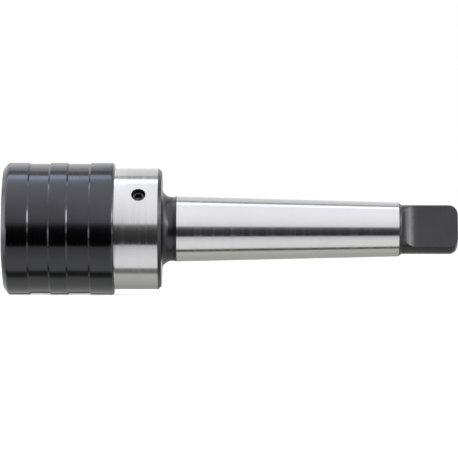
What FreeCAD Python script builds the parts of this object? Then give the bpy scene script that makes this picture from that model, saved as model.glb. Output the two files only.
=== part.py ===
import FreeCAD, Part
import math
import os
from FreeCAD import Vector

# Quick-change tapping head, in millimetres.
# X runs along the axis: nose at -X, tang at +X. The origin is the centre of the Morse gauge plane.
# Profiles are drawn as (x, r) points in the half plane and revolved about X.

# Clearances
RUN_GAP = 0.05  # radial gap of a running fit
SEAT_GAP = 0.01  # radial gap of a pressed or screwed piece
LOOSE_GAP = 0.2  # radial gap where pieces only pass each other
SPRING_GAP = 0.15  # radial gap between a spring and what guides it
END_GAP = 0.2  # axial gap left at the end of a travel

# Travels
FLOAT_IN = 4.0
FLOAT_OUT = 4.0
SLEEVE_TRAVEL = 3.5
PAD_TRAVEL = 0.3

# Morse taper 2 shank and tang
GAUGE_D = 17.780
TAPER_RATE = 1 / 20.020  # change of diameter per mm of length
TAPER_START = -4.9
TAPER_END = 56.3
TANG_D = 13.5
TANG_LENGTH = 16.25
TANG_CORNER_R = 2.4
TANG_THICK = 6.3
TANG_FLAT_LENGTH = 10.55
TANG_CUTTER_R = 6.0
TANG_ROLL = 15.0  # degrees from -Y towards +Z
CENTRE_HOLE_D = 1.6
CENTRE_HOLE_DEPTH = 3.2
CENTRE_SINK_D = 3.4
CENTRE_SINK_ANGLE = 60.0

# Housing in front of the shank
BODY_D = 33.4
BODY_LENGTH = 19.6
BODY_REAR = -9.0
BODY_CHAMFER = 0.9
BODY_FRONT_CHAMFER = 0.4
HOUSING_WALL = 2.2
HOUSING_BORE_DEPTH = 10.4
NECK_D = 17.66
NECK_FILLET_R = 2.8
NECK_RAMP = 1.0
SHANK_BORE_D = 11.5
MOUTH_CHAMFER = 0.3

# Locking sleeve
SLEEVE_WALL = 1.3
SLEEVE_LENGTH = 30.6
SLEEVE_OVERLAP = 6.7  # over the housing, at rest
SLEEVE_BEVEL_LENGTH = 1.5
SLEEVE_BEVEL_DEPTH = 1.55
SLEEVE_REAR_FILLET = 0.4
GRIP_DEPTH = 0.27
GRIP_RAMP = 0.45
GRIP_SPANS = ((7.2, 12.85), (17.8, 23.9))  # middles of the ramps, from the sleeve's front
SLEEVE_REAR_LAND = 0.25
CAM_SLOPE = 0.34
CAM_LEAD = 1.25  # from the ball plane to the narrow end of the cam
POCKET_GAP = 0.3

# Spindle
NOSE_PROUD = 0.4
NOSE_CHAMFER = 0.4
COLLAR_STEP = 1.25
ADAPTER_WALL = 3.7  # from the adapter bore to the nose's outside
ADAPTER_DEPTH = 19.7
ADAPTER_MOUTH_CHAMFER = 0.8
RELIEF_DEPTH = 0.5
RELIEF_HALF_WIDTH = 3.0  # to each side of the ball plane
TAIL_WEB = 3.0
TAIL_WALL = 1.6
KEY_SLOT_W = 6.0
KEY_SLOT_DEPTH = 4.5
KEY_SLOT_WALL = 1.8

# Locking balls
BALL_D = 5.0
BALL_DEPTH = 11.9  # from the nose face
BALL_COUNT = 3
BALL_SEAT_GAP = 0.06
CAM_GAP = 0.03
BALL_CLOCK = 90.0  # degrees from -Y towards +Z

# Sleeve stop ring, washer and spring
CIRCLIP_SUNK = 0.4
CIRCLIP_THICK = 1.2
CIRCLIP_DEPTH = 0.6
CIRCLIP_WIDTH = 1.6
CIRCLIP_CLEAR = 0.4
CIRCLIP_OPENING = 26.0  # degrees
CIRCLIP_EYE_D = 0.9
THRUST_THICK = 0.9
THRUST_CLEAR = 0.4
SLEEVE_SPRING_LENGTH = 8.6
SLEEVE_WIRE = 1.0
SLEEVE_COILS = 3.0

# Seals
RING_SECTION = 1.2
SEAL_SETBACK = 1.6  # from the spindle's rear face
SEAL_GAP = 0.05  # round each ring in its groove

# Drive pins
PIN_D = 4.0
PIN_WALL = 1.6
PIN_COUNT = 3
PIN_SEAT_DEPTH = 4.5
PIN_ENGAGE = 1.2  # least engagement, with the spindle fully out
PIN_TIP_CHAMFER = 0.4

# Tie bolt and the two float springs
BOLT_HEAD_SETBACK = 2.2  # from the housing bore's end
BOLT_HEAD_LENGTH = 4.0
BOLT_HEAD_CLEAR = 0.6
BOLT_SOCKET_AF = 3.0
BOLT_SOCKET_DEPTH = 2.0
BOLT_D = 4.0
BOLT_THREAD_LENGTH = 9.0
BOLT_HOLE_SPARE = 1.5
TIE_WASHER_THICK = 0.8
TIE_WASHER_CLEAR = 0.3
SEAT_THICK = 1.0
TENSION_LENGTH = 20.2
TENSION_WIRE = 1.0
TENSION_COILS = 6.0
COMPRESSION_LENGTH = 23.0
COMPRESSION_WIRE = 1.3
COMPRESSION_CLEAR = 0.4
COMPRESSION_COILS = 6.0

# Adjusting screw and brake pad, in the radial hole
SCREW_SETBACK = 3.0  # from the housing bore's end
SCREW_CLOCK = 34.0  # degrees from -Y towards +Z
SCREW_D = 4.0
SCREW_SUNK = 1.2
SCREW_LENGTH = 5.2
SCREW_SOCKET_AF = 2.0
SCREW_SOCKET_DEPTH = 1.8
SCREW_CUP_D = 2.4
SCREW_HOLE_SPARE = 0.9
SCREW_TOP_CHAMFER = 0.3
PAD_D = 3.0

AXIS = Vector(1, 0, 0)
ORIGIN = Vector(0, 0, 0)

# Radii that follow from the sizes above
BODY_R = BODY_D / 2
HOUSING_BORE_R = BODY_R - HOUSING_WALL
COLLAR_R = HOUSING_BORE_R - RUN_GAP
NOSE_R = COLLAR_R - COLLAR_STEP
ADAPTER_BORE_R = NOSE_R - ADAPTER_WALL
SHANK_BORE_R = SHANK_BORE_D / 2
TAIL_R = SHANK_BORE_R - RUN_GAP
TAIL_BORE_R = TAIL_R - TAIL_WALL
SLEEVE_BORE_R = BODY_R + LOOSE_GAP
SLEEVE_R = SLEEVE_BORE_R + SLEEVE_WALL
SLEEVE_LAND_R = NOSE_R + RUN_GAP
CIRCLIP_R = NOSE_R - CIRCLIP_DEPTH + SEAT_GAP
THRUST_R = SLEEVE_BORE_R - THRUST_CLEAR
BALL_R = BALL_D / 2
PIN_PITCH_R = NOSE_R - PIN_WALL - PIN_D / 2
BOLT_R = BOLT_D / 2
SCREW_TOP_R = BODY_R - SCREW_SUNK
SCREW_END_R = SCREW_TOP_R - SCREW_LENGTH

# Places along the axis that follow from the sizes above
BODY_FRONT = BODY_REAR - BODY_LENGTH
HOUSING_BORE_END = BODY_FRONT + HOUSING_BORE_DEPTH
SLEEVE_REAR = BODY_FRONT + SLEEVE_OVERLAP
SLEEVE_FRONT = SLEEVE_REAR - SLEEVE_LENGTH
NOSE_FACE = SLEEVE_FRONT - NOSE_PROUD
ADAPTER_BORE_END = NOSE_FACE + ADAPTER_DEPTH
BALL_PLANE = NOSE_FACE + BALL_DEPTH
CAM_END = BALL_PLANE + CAM_LEAD
SLEEVE_SHOULDER = CAM_END + SLEEVE_REAR_LAND
THRUST_REAR = SLEEVE_SHOULDER + THRUST_THICK
COLLAR_START = THRUST_REAR + SLEEVE_SPRING_LENGTH
SPINDLE_REAR = HOUSING_BORE_END - FLOAT_IN - END_GAP
CIRCLIP_FRONT = SLEEVE_FRONT + CIRCLIP_SUNK
CIRCLIP_REAR = CIRCLIP_FRONT + CIRCLIP_THICK
BALL_POCKET_START = BALL_PLANE - SLEEVE_TRAVEL - BALL_R
SEAL_HALF = RING_SECTION / 2
SEAL_X = SPINDLE_REAR - SEAL_SETBACK
WIPER_X = (CIRCLIP_REAR + BALL_POCKET_START) / 2
PIN_TIP = SPINDLE_REAR - FLOAT_OUT - PIN_ENGAGE
PIN_HOLE_END = PIN_TIP - FLOAT_IN - END_GAP
BOLT_HEAD_FRONT = HOUSING_BORE_END + BOLT_HEAD_SETBACK
BOLT_HEAD_REAR = BOLT_HEAD_FRONT + BOLT_HEAD_LENGTH
TENSION_START = BOLT_HEAD_REAR + TIE_WASHER_THICK
WEB_START = TENSION_START + TENSION_LENGTH
TAIL_END = WEB_START + TAIL_WEB
SEAT_FRONT = TAIL_END + COMPRESSION_LENGTH
SHANK_BORE_END = SEAT_FRONT + SEAT_THICK
BOLT_END = SHANK_BORE_END + BOLT_THREAD_LENGTH
SCREW_X = HOUSING_BORE_END + SCREW_SETBACK
TANG_END = TAPER_END + TANG_LENGTH
TANG_FLAT_START = TANG_END - TANG_FLAT_LENGTH

# The ball touches the cam, whose radius falls by CAM_SLOPE per mm towards the tang.
CAM_R_AT_BALL = SLEEVE_LAND_R + CAM_SLOPE * CAM_LEAD
BALL_CENTRE_R = CAM_R_AT_BALL - (BALL_R + CAM_GAP) * math.hypot(1, CAM_SLOPE)
POCKET_R = BALL_CENTRE_R + CAM_SLOPE * SLEEVE_TRAVEL + BALL_R + POCKET_GAP


def morse_r(x):
    """Radius of the Morse taper at distance x from the gauge plane."""
    return (GAUGE_D - x * TAPER_RATE) / 2


def clock_dir(degrees):
    """Unit vector across the axis, turned from -Y towards +Z."""
    turn = math.radians(degrees)
    return Vector(0, -math.cos(turn), math.sin(turn))


def around(count, first):
    """Clock angles of evenly spaced repeats."""
    return [first + 360.0 * i / count for i in range(count)]


def revolve(edges):
    """Solid from a closed outline in the XZ half plane."""
    wire = Part.Wire(edges)
    return Part.Face(wire).revolve(ORIGIN, AXIS, 360)


def at(x, r):
    """Point of the half plane, at x along the axis and r from it."""
    return Vector(x, 0, r)


def lines(points):
    """Edges along a row of points."""
    return [Part.makeLine(at(*a), at(*b)) for a, b in zip(points, points[1:])]


def turned(points):
    """Solid turned from a closed outline of (x, r) points."""
    return revolve(lines(points + points[:1]))


def tube(x0, x1, r_in, r_out):
    """Plain ring from x0 to x1."""
    return turned([(x0, r_in), (x1, r_in), (x1, r_out), (x0, r_out)])


def rod(x0, x1, r):
    """Plain cylinder on the axis from x0 to x1."""
    return Part.makeCylinder(r, x1 - x0, Vector(x0, 0, 0), AXIS)


def radial_rod(x, degrees, r0, r1, r):
    """Cylinder across the axis, from r0 to r1 out along a clock direction."""
    out = clock_dir(degrees)
    return Part.makeCylinder(r, r1 - r0, Vector(x, 0, 0) + out * r0, out)


def hexagon(af, start, direction, length):
    """Hexagonal prism with the given size across flats."""
    corner_r = af / 2 / math.cos(math.pi / 6)
    side = direction.cross(AXIS)
    if side.Length < 0.5:
        side = Vector(0, 1, 0)
    side.normalize()
    points = []
    for i in range(7):
        spin = FreeCAD.Rotation(direction, 60.0 * i)
        points.append(start + spin.multVec(side) * corner_r)
    return Part.Face(Part.makePolygon(points)).extrude(direction * length)


def coil(x0, x1, mean_r, wire, coils):
    """Coil spring of square wire whose wire just reaches x0 and x1."""
    rise = x1 - x0 - wire
    helix = Part.makeHelix(rise / coils, rise, mean_r)
    corner = Vector(mean_r - wire / 2, 0, -wire / 2)
    section = Part.makePlane(wire, wire, corner, Vector(0, -1, 0), Vector(1, 0, 0)).OuterWire
    spring = Part.Wire(helix.Edges).makePipeShell([section], True, True)
    spring.rotate(ORIGIN, Vector(0, 1, 0), 90)
    spring.translate(Vector(x0 + wire / 2, 0, 0))
    return spring


def arc(x0, r0, mid, x1, r1):
    """Arc edge in the half plane through a middle point."""
    return Part.Arc(at(x0, r0), at(*mid), at(x1, r1)).toShape()


def shank_outline():
    """Outer and inner outline of the shank body, as edges."""
    neck_r = NECK_D / 2
    arc_top = neck_r + NECK_FILLET_R
    arc_end = BODY_REAR + NECK_FILLET_R
    bend = NECK_FILLET_R * (1 - math.sqrt(0.5))
    tang_r = TANG_D / 2
    round_start = TANG_END - TANG_CORNER_R
    corner = TANG_CORNER_R * (1 - math.sqrt(0.5))
    taper_drop = morse_r(TAPER_END) - tang_r
    front = [
        (TANG_END, 0),
        (SHANK_BORE_END, 0),
        (SHANK_BORE_END, SHANK_BORE_R),
        (HOUSING_BORE_END, SHANK_BORE_R),
        (HOUSING_BORE_END, HOUSING_BORE_R),
        (BODY_FRONT + MOUTH_CHAMFER, HOUSING_BORE_R),
        (BODY_FRONT, HOUSING_BORE_R + MOUTH_CHAMFER),
        (BODY_FRONT, BODY_R - BODY_FRONT_CHAMFER),
        (BODY_FRONT + BODY_FRONT_CHAMFER, BODY_R),
        (BODY_REAR - BODY_CHAMFER, BODY_R),
        (BODY_REAR, BODY_R - BODY_CHAMFER),
        (BODY_REAR, arc_top),
    ]
    taper = [
        (arc_end, neck_r),
        (TAPER_START - NECK_RAMP, neck_r),
        (TAPER_START, morse_r(TAPER_START)),
        (TAPER_END, morse_r(TAPER_END)),
        (TAPER_END + taper_drop, tang_r),
        (round_start, tang_r),
    ]
    neck_mid = (BODY_REAR + bend, neck_r + bend)
    corner_mid = (TANG_END - corner, tang_r - corner)
    neck_arc = arc(BODY_REAR, arc_top, neck_mid, arc_end, neck_r)
    corner_arc = arc(round_start, tang_r, corner_mid, TANG_END, tang_r - TANG_CORNER_R)
    tip = lines([(TANG_END, tang_r - TANG_CORNER_R), (TANG_END, 0)])
    return lines(front) + [neck_arc] + lines(taper) + [corner_arc] + tip


def tang_cutter(roll):
    """Milling cut for one tang flat, with the cutter's radius at its run-out."""
    half = TANG_THICK / 2
    top = TANG_D
    cut_x = TANG_FLAT_START - TANG_CUTTER_R
    centre_z = half + TANG_CUTTER_R
    bend = TANG_CUTTER_R * math.sqrt(0.5)
    past = TANG_END + 1
    edges = lines([(TANG_FLAT_START, half), (past, half), (past, top), (cut_x, top), (cut_x, centre_z)])
    middle = (TANG_FLAT_START - bend, centre_z - bend)
    edges.append(arc(cut_x, centre_z, middle, TANG_FLAT_START, half))
    cut = Part.Face(Part.Wire(edges)).extrude(Vector(0, 2 * TANG_D, 0))
    cut.translate(Vector(0, -TANG_D, 0))
    cut.rotate(ORIGIN, AXIS, roll)
    return cut


def centre_hole():
    """Lathe centre hole in the end of the tang."""
    sink_r = CENTRE_SINK_D / 2
    hole_r = CENTRE_HOLE_D / 2
    sink_depth = (sink_r - hole_r) / math.tan(math.radians(CENTRE_SINK_ANGLE / 2))
    start = TANG_END - CENTRE_HOLE_DEPTH
    sink_end = TANG_END - sink_depth
    outline = [(start, 0), (start, hole_r), (sink_end, hole_r), (TANG_END, sink_r), (TANG_END, 0)]
    return turned(outline)


def shank_body():
    body = revolve(shank_outline())
    # The flats' normal is TANG_ROLL above -Y; a cutter drawn along +Z turns 90 degrees more to reach -Y.
    cuts = [tang_cutter(90.0 - TANG_ROLL + side) for side in (0.0, 180.0)]
    cuts.append(centre_hole())
    cuts.append(rod(SHANK_BORE_END - 1, BOLT_END + BOLT_HOLE_SPARE, BOLT_R + SEAT_GAP))
    screw_r = SCREW_D / 2 + RUN_GAP
    cuts.append(radial_rod(SCREW_X, SCREW_CLOCK, SCREW_END_R - SCREW_HOLE_SPARE, BODY_R + 1, screw_r))
    cuts.append(radial_rod(SCREW_X, SCREW_CLOCK, SHANK_BORE_R / 2, SCREW_END_R, PAD_D / 2 + RUN_GAP))
    for degrees in pin_clocks():
        place = clock_dir(degrees) * PIN_PITCH_R
        hole = rod(HOUSING_BORE_END - 1, HOUSING_BORE_END + PIN_SEAT_DEPTH, PIN_D / 2 + SEAT_GAP)
        hole.translate(place)
        cuts.append(hole)
    return body.cut(cuts)


def pin_clocks():
    """Clock angles of the drive pins, with the screw midway between two of them."""
    return around(PIN_COUNT, SCREW_CLOCK + 180.0 / PIN_COUNT)


def ball_hole(degrees):
    """Radial hole with a round bottom, whose lip keeps the ball from falling into the bore."""
    r = BALL_R + BALL_SEAT_GAP
    bend = r * math.sqrt(0.5)
    top = NOSE_R + 1
    low = BALL_CENTRE_R - r
    edges = lines([(r, BALL_CENTRE_R), (r, top), (0, top), (0, low)])
    edges.append(arc(0, low, (bend, BALL_CENTRE_R - bend), r, BALL_CENTRE_R))
    hole = Part.Face(Part.Wire(edges)).revolve(ORIGIN, Vector(0, 0, 1), 360)
    hole.rotate(ORIGIN, AXIS, 90.0 - degrees)
    hole.translate(Vector(BALL_PLANE, 0, 0))
    return hole


def spindle():
    groove_r = NOSE_R - CIRCLIP_DEPTH
    groove_rear = CIRCLIP_REAR + SEAT_GAP
    seal_start = SEAL_X - SEAL_HALF - SEAL_GAP
    seal_end = SEAL_X + SEAL_HALF + SEAL_GAP
    seal_bottom = COLLAR_R - RING_SECTION - SEAL_GAP
    mouth_r = ADAPTER_BORE_R + ADAPTER_MOUTH_CHAMFER
    relief_r = ADAPTER_BORE_R + RELIEF_DEPTH
    outline = [
        (NOSE_FACE, mouth_r),
        (NOSE_FACE, NOSE_R - NOSE_CHAMFER),
        (NOSE_FACE + NOSE_CHAMFER, NOSE_R),
        (CIRCLIP_FRONT, NOSE_R),
        (CIRCLIP_FRONT, groove_r),
        (groove_rear, groove_r),
        (groove_rear, NOSE_R),
        (COLLAR_START, NOSE_R),
        (COLLAR_START, COLLAR_R),
        (seal_start, COLLAR_R),
        (seal_start, seal_bottom),
        (seal_end, seal_bottom),
        (seal_end, COLLAR_R),
        (SPINDLE_REAR, COLLAR_R),
        (SPINDLE_REAR, TAIL_R + SEAT_GAP),
        (ADAPTER_BORE_END, TAIL_R + SEAT_GAP),
        (ADAPTER_BORE_END, ADAPTER_BORE_R),
        (BALL_PLANE + RELIEF_HALF_WIDTH, ADAPTER_BORE_R),
        (BALL_PLANE + RELIEF_HALF_WIDTH, relief_r),
        (BALL_PLANE - RELIEF_HALF_WIDTH, relief_r),
        (BALL_PLANE - RELIEF_HALF_WIDTH, ADAPTER_BORE_R),
        (NOSE_FACE + ADAPTER_MOUTH_CHAMFER, ADAPTER_BORE_R),
    ]
    body = turned(outline)
    cuts = []
    for degrees in pin_clocks():
        hole = rod(PIN_HOLE_END, SPINDLE_REAR + 1, PIN_D / 2 + RUN_GAP)
        hole.translate(clock_dir(degrees) * PIN_PITCH_R)
        cuts.append(hole)
    cuts += [ball_hole(degrees) for degrees in around(BALL_COUNT, BALL_CLOCK)]
    for side in (-1, 1):
        slot = Part.makeBox(KEY_SLOT_DEPTH + 1, KEY_SLOT_W, NOSE_R - KEY_SLOT_WALL)
        slot.translate(Vector(NOSE_FACE - 1, -KEY_SLOT_W / 2, 0))
        slot.rotate(ORIGIN, AXIS, 90.0 * side)
        cuts.append(slot)
    return body.cut(cuts)


def spindle_tail():
    """Tube pressed into the spindle, with a web at its end between the two float springs."""
    outline = [
        (ADAPTER_BORE_END, TAIL_BORE_R),
        (ADAPTER_BORE_END, TAIL_R),
        (TAIL_END, TAIL_R),
        (TAIL_END, BOLT_R + LOOSE_GAP),
        (WEB_START, BOLT_R + LOOSE_GAP),
        (WEB_START, TAIL_BORE_R),
    ]
    return turned(outline)


def grip_outline():
    """Outside of the sleeve from its bevel to its rear edge."""
    points = [(SLEEVE_FRONT + SLEEVE_BEVEL_LENGTH, SLEEVE_R)]
    low_r = SLEEVE_R - GRIP_DEPTH
    half = GRIP_RAMP / 2
    for near, far in GRIP_SPANS:
        start = SLEEVE_FRONT + near
        end = SLEEVE_FRONT + far
        points += [(start - half, SLEEVE_R), (start + half, low_r)]
        points += [(end - half, low_r), (end + half, SLEEVE_R)]
    points.append((SLEEVE_REAR - SLEEVE_REAR_FILLET, SLEEVE_R))
    return points


def locking_sleeve():
    mouth_r = CIRCLIP_R + CIRCLIP_WIDTH + CIRCLIP_CLEAR
    cam_start = CAM_END - (POCKET_R - SLEEVE_LAND_R) / CAM_SLOPE
    wiper_start = WIPER_X - SEAL_HALF - SEAL_GAP
    wiper_end = WIPER_X + SEAL_HALF + SEAL_GAP
    wiper_r = SLEEVE_LAND_R + RING_SECTION + SEAL_GAP
    bend = SLEEVE_REAR_FILLET * (1 - math.sqrt(0.5))
    corner = arc(
        SLEEVE_REAR - SLEEVE_REAR_FILLET, SLEEVE_R,
        (SLEEVE_REAR - bend, SLEEVE_R - bend),
        SLEEVE_REAR, SLEEVE_R - SLEEVE_REAR_FILLET,
    )
    inside = [
        (SLEEVE_REAR, SLEEVE_R - SLEEVE_REAR_FILLET),
        (SLEEVE_REAR, SLEEVE_BORE_R + MOUTH_CHAMFER),
        (SLEEVE_REAR - MOUTH_CHAMFER, SLEEVE_BORE_R),
        (SLEEVE_SHOULDER, SLEEVE_BORE_R),
        (SLEEVE_SHOULDER, SLEEVE_LAND_R),
        (CAM_END, SLEEVE_LAND_R),
        (cam_start, POCKET_R),
        (BALL_POCKET_START, POCKET_R),
        (BALL_POCKET_START, SLEEVE_LAND_R),
        (wiper_end, SLEEVE_LAND_R),
        (wiper_end, wiper_r),
        (wiper_start, wiper_r),
        (wiper_start, SLEEVE_LAND_R),
        (CIRCLIP_REAR, SLEEVE_LAND_R),
        (CIRCLIP_REAR, mouth_r),
        (SLEEVE_FRONT, mouth_r),
        (SLEEVE_FRONT, SLEEVE_R - SLEEVE_BEVEL_DEPTH),
        (SLEEVE_FRONT + SLEEVE_BEVEL_LENGTH, SLEEVE_R),
    ]
    return revolve(lines(grip_outline()) + [corner] + lines(inside))


def locking_ball(degrees):
    return Part.makeSphere(BALL_R, Vector(BALL_PLANE, 0, 0) + clock_dir(degrees) * BALL_CENTRE_R)


def thrust_washer():
    return tube(SLEEVE_SHOULDER, THRUST_REAR, SLEEVE_LAND_R, THRUST_R)


def sleeve_spring():
    mean_r = NOSE_R + SPRING_GAP + SLEEVE_WIRE / 2
    return coil(THRUST_REAR, COLLAR_START, mean_r, SLEEVE_WIRE, SLEEVE_COILS)


def sleeve_circlip():
    outer_r = CIRCLIP_R + CIRCLIP_WIDTH
    ring = tube(CIRCLIP_FRONT, CIRCLIP_REAR, CIRCLIP_R, outer_r)
    half = math.radians(CIRCLIP_OPENING / 2)
    far = outer_r * 2
    wedge = Part.makePolygon([
        Vector(CIRCLIP_FRONT, 0, 0),
        Vector(CIRCLIP_FRONT, -far * math.sin(half), -far * math.cos(half)),
        Vector(CIRCLIP_FRONT, far * math.sin(half), -far * math.cos(half)),
        Vector(CIRCLIP_FRONT, 0, 0),
    ])
    cuts = [Part.Face(wedge).extrude(Vector(CIRCLIP_THICK, 0, 0))]
    eye_turn = CIRCLIP_OPENING / 2 + math.degrees(CIRCLIP_WIDTH / 2 / outer_r)
    for side in (-1, 1):
        eye = rod(CIRCLIP_FRONT, CIRCLIP_REAR, CIRCLIP_EYE_D / 2)
        eye.translate(clock_dir(270.0 + side * eye_turn) * (CIRCLIP_R + outer_r) * 0.5)
        cuts.append(eye)
    return ring.cut(cuts)


def drive_pin(degrees):
    r = PIN_D / 2
    end = HOUSING_BORE_END + PIN_SEAT_DEPTH
    outline = [
        (PIN_TIP, 0),
        (PIN_TIP, r - PIN_TIP_CHAMFER),
        (PIN_TIP + PIN_TIP_CHAMFER, r),
        (end - PIN_TIP_CHAMFER, r),
        (end, r - PIN_TIP_CHAMFER),
        (end, 0),
    ]
    pin = turned(outline)
    pin.translate(clock_dir(degrees) * PIN_PITCH_R)
    return pin


def tie_bolt():
    head = rod(BOLT_HEAD_FRONT, BOLT_HEAD_REAR, TAIL_BORE_R - BOLT_HEAD_CLEAR)
    shank = rod(BOLT_HEAD_REAR, BOLT_END, BOLT_R)
    socket = hexagon(BOLT_SOCKET_AF, Vector(BOLT_HEAD_FRONT, 0, 0), AXIS, BOLT_SOCKET_DEPTH)
    return head.fuse(shank).cut(socket).removeSplitter()


def tie_washer():
    return tube(BOLT_HEAD_REAR, TENSION_START, BOLT_R + RUN_GAP, TAIL_BORE_R - TIE_WASHER_CLEAR)


def tension_spring():
    mean_r = (TAIL_BORE_R + BOLT_R) / 2
    return coil(TENSION_START, WEB_START, mean_r, TENSION_WIRE, TENSION_COILS)


def compression_spring():
    mean_r = SHANK_BORE_R - COMPRESSION_CLEAR - COMPRESSION_WIRE / 2
    return coil(TAIL_END, SEAT_FRONT, mean_r, COMPRESSION_WIRE, COMPRESSION_COILS)


def spring_seat():
    return tube(SEAT_FRONT, SHANK_BORE_END, BOLT_R + RUN_GAP, SHANK_BORE_R - RUN_GAP)


def adjusting_screw():
    r = SCREW_D / 2
    out = clock_dir(SCREW_CLOCK)
    foot = Vector(SCREW_X, 0, 0)
    screw = radial_rod(SCREW_X, SCREW_CLOCK, SCREW_END_R, SCREW_TOP_R - SCREW_TOP_CHAMFER, r)
    rim = Part.makeCone(
        r, r - SCREW_TOP_CHAMFER, SCREW_TOP_CHAMFER,
        foot + out * (SCREW_TOP_R - SCREW_TOP_CHAMFER), out,
    )
    socket = hexagon(SCREW_SOCKET_AF, foot + out * SCREW_TOP_R, out * -1, SCREW_SOCKET_DEPTH)
    cup_r = SCREW_CUP_D / 2
    cup = Part.makeCone(cup_r, 0, cup_r, foot + out * SCREW_END_R, out)
    return screw.fuse(rim).cut([socket, cup]).removeSplitter()


def brake_pad():
    return radial_rod(SCREW_X, SCREW_CLOCK, TAIL_R + PAD_TRAVEL, SCREW_END_R, PAD_D / 2)


def spindle_seal_ring():
    return tube(SEAL_X - SEAL_HALF, SEAL_X + SEAL_HALF, COLLAR_R - RING_SECTION, COLLAR_R)


def sleeve_wiper_ring():
    return tube(WIPER_X - SEAL_HALF, WIPER_X + SEAL_HALF, SLEEVE_LAND_R, SLEEVE_LAND_R + RING_SECTION)


def main():
    pieces = {
        "shank_body": shank_body(),
        "spindle": spindle(),
        "spindle_tail": spindle_tail(),
        "locking_sleeve": locking_sleeve(),
        "thrust_washer": thrust_washer(),
        "sleeve_spring": sleeve_spring(),
        "sleeve_circlip": sleeve_circlip(),
        "tie_bolt": tie_bolt(),
        "tie_washer": tie_washer(),
        "tension_spring": tension_spring(),
        "compression_spring": compression_spring(),
        "spring_seat": spring_seat(),
        "adjusting_screw": adjusting_screw(),
        "brake_pad": brake_pad(),
        "spindle_seal_ring": spindle_seal_ring(),
        "sleeve_wiper_ring": sleeve_wiper_ring(),
    }
    for i, degrees in enumerate(around(BALL_COUNT, BALL_CLOCK), 1):
        pieces[f"locking_ball_{i}"] = locking_ball(degrees)
    for i, degrees in enumerate(pin_clocks(), 1):
        pieces[f"drive_pin_{i}"] = drive_pin(degrees)
    os.makedirs("parts", exist_ok=True)
    for name, shape in pieces.items():
        shape.exportStep(f"parts/{name}.step")


main()
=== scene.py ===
"""Looks of a quick-change tapping head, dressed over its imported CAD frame.

X runs along the axis, with the nose at -X and the tang at +X. Sizes are millimetres until a mesh is made.
"""

import logging
import math
from dataclasses import dataclass, field
from enum import Enum

import bpy
import numpy as np
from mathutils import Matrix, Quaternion, Vector
from numpy.typing import NDArray


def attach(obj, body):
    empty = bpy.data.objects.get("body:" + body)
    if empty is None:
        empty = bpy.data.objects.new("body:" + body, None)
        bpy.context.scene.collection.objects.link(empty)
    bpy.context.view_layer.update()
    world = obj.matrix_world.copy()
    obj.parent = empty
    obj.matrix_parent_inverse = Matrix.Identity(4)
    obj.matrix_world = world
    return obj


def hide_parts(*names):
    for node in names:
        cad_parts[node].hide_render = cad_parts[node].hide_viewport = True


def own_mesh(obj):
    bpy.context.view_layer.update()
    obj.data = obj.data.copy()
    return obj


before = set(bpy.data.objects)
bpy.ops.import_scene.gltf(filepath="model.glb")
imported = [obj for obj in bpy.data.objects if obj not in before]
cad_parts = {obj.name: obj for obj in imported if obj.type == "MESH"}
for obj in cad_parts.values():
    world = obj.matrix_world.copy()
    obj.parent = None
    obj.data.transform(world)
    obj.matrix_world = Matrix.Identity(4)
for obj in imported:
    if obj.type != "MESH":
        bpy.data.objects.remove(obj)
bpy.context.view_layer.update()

Array = NDArray[np.float64]
Point = tuple[float, float, float]
Corners = list[Point]
log = logging.getLogger("tapping_head")

MM = 0.001
WHITE = "#ffffff"
# Tint of the painted shade on the floor strips.
PAINTED_SHADE_TINT = "#f8f9ee"
COOL = "#fdfcff"
BLUISH = "#e2ecff"
COLUMNS = 192
SMALL_COLUMNS = 96
FULL = 2 * math.pi
ALONG = np.array([1.0, 0.0, 0.0])
# Less than any size that counts, more than any, and a share that keeps a slope from running to infinity.
TINY = 1e-6
FAR = 500.0
ALMOST = 0.99999
# Where the locking balls and the adjusting screw sit.
BALL_X = -41.0
BALL_CLOCKS = (90.0, 210.0, 330.0)
SCREW_X = -15.2
SCREW_CLOCK = 34.0


# Colours and nodes


def linear(code: str) -> tuple[float, float, float, float]:
    """Turn an sRGB hex colour to linear light.

    Args:
        code: six hex digits after a #.

    Returns:
        Red, green, blue and an alpha of one, as Blender's sockets take them.
    """
    srgb = [int(code[i:i + 2], 16) / 255 for i in (1, 3, 5)]
    red, green, blue = (c / 12.92 if c <= 0.04045 else ((c + 0.055) / 1.055) ** 2.4 for c in srgb)
    return red, green, blue, 1.0


def add_node(
    tree: bpy.types.NodeTree, kind: str, inputs: dict[str | int, object], out: str | int = 0,
    **settings: object,
) -> bpy.types.NodeSocket | None:
    """Add one node, with its settings and what feeds it.

    Args:
        tree: the node tree of a material or of the world.
        kind: the node's type name, after the word ShaderNode.
        inputs: input names or numbers, with the value or the other node's output that each takes.
        out: name or number of the output to hand back.
        settings: the node's own attributes.

    Returns:
        The output, or nothing where the node has none.
    """
    node = tree.nodes.new("ShaderNode" + kind)
    for name, value in settings.items():
        setattr(node, name, value)
    for name, value in inputs.items():
        if isinstance(value, bpy.types.NodeSocket):
            tree.links.new(value, node.inputs[name])
        else:
            node.inputs[name].default_value = value
    return node.outputs[out] if node.outputs else None


def blank(name: str) -> tuple[bpy.types.Material, bpy.types.NodeTree]:
    """Make a material with an empty node tree.

    Args:
        name: the material's name.

    Returns:
        The material and its tree.
    """
    material = bpy.data.materials.new(name)
    material.use_nodes = True
    material.node_tree.nodes.clear()
    return material, material.node_tree


def link_object(name: str, data: bpy.types.ID) -> bpy.types.Object:
    """Put a mesh or a camera in the scene, at the origin.

    Args:
        name: the object's name.
        data: the mesh or the camera.

    Returns:
        The new object.
    """
    made = bpy.data.objects.new(name, data)
    bpy.context.scene.collection.objects.link(made)
    return made


class Lay(Enum):
    """The way the cutter's or the grinding wheel's marks run."""

    ROUND = "round the axis"
    NONE = "no direction"


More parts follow.
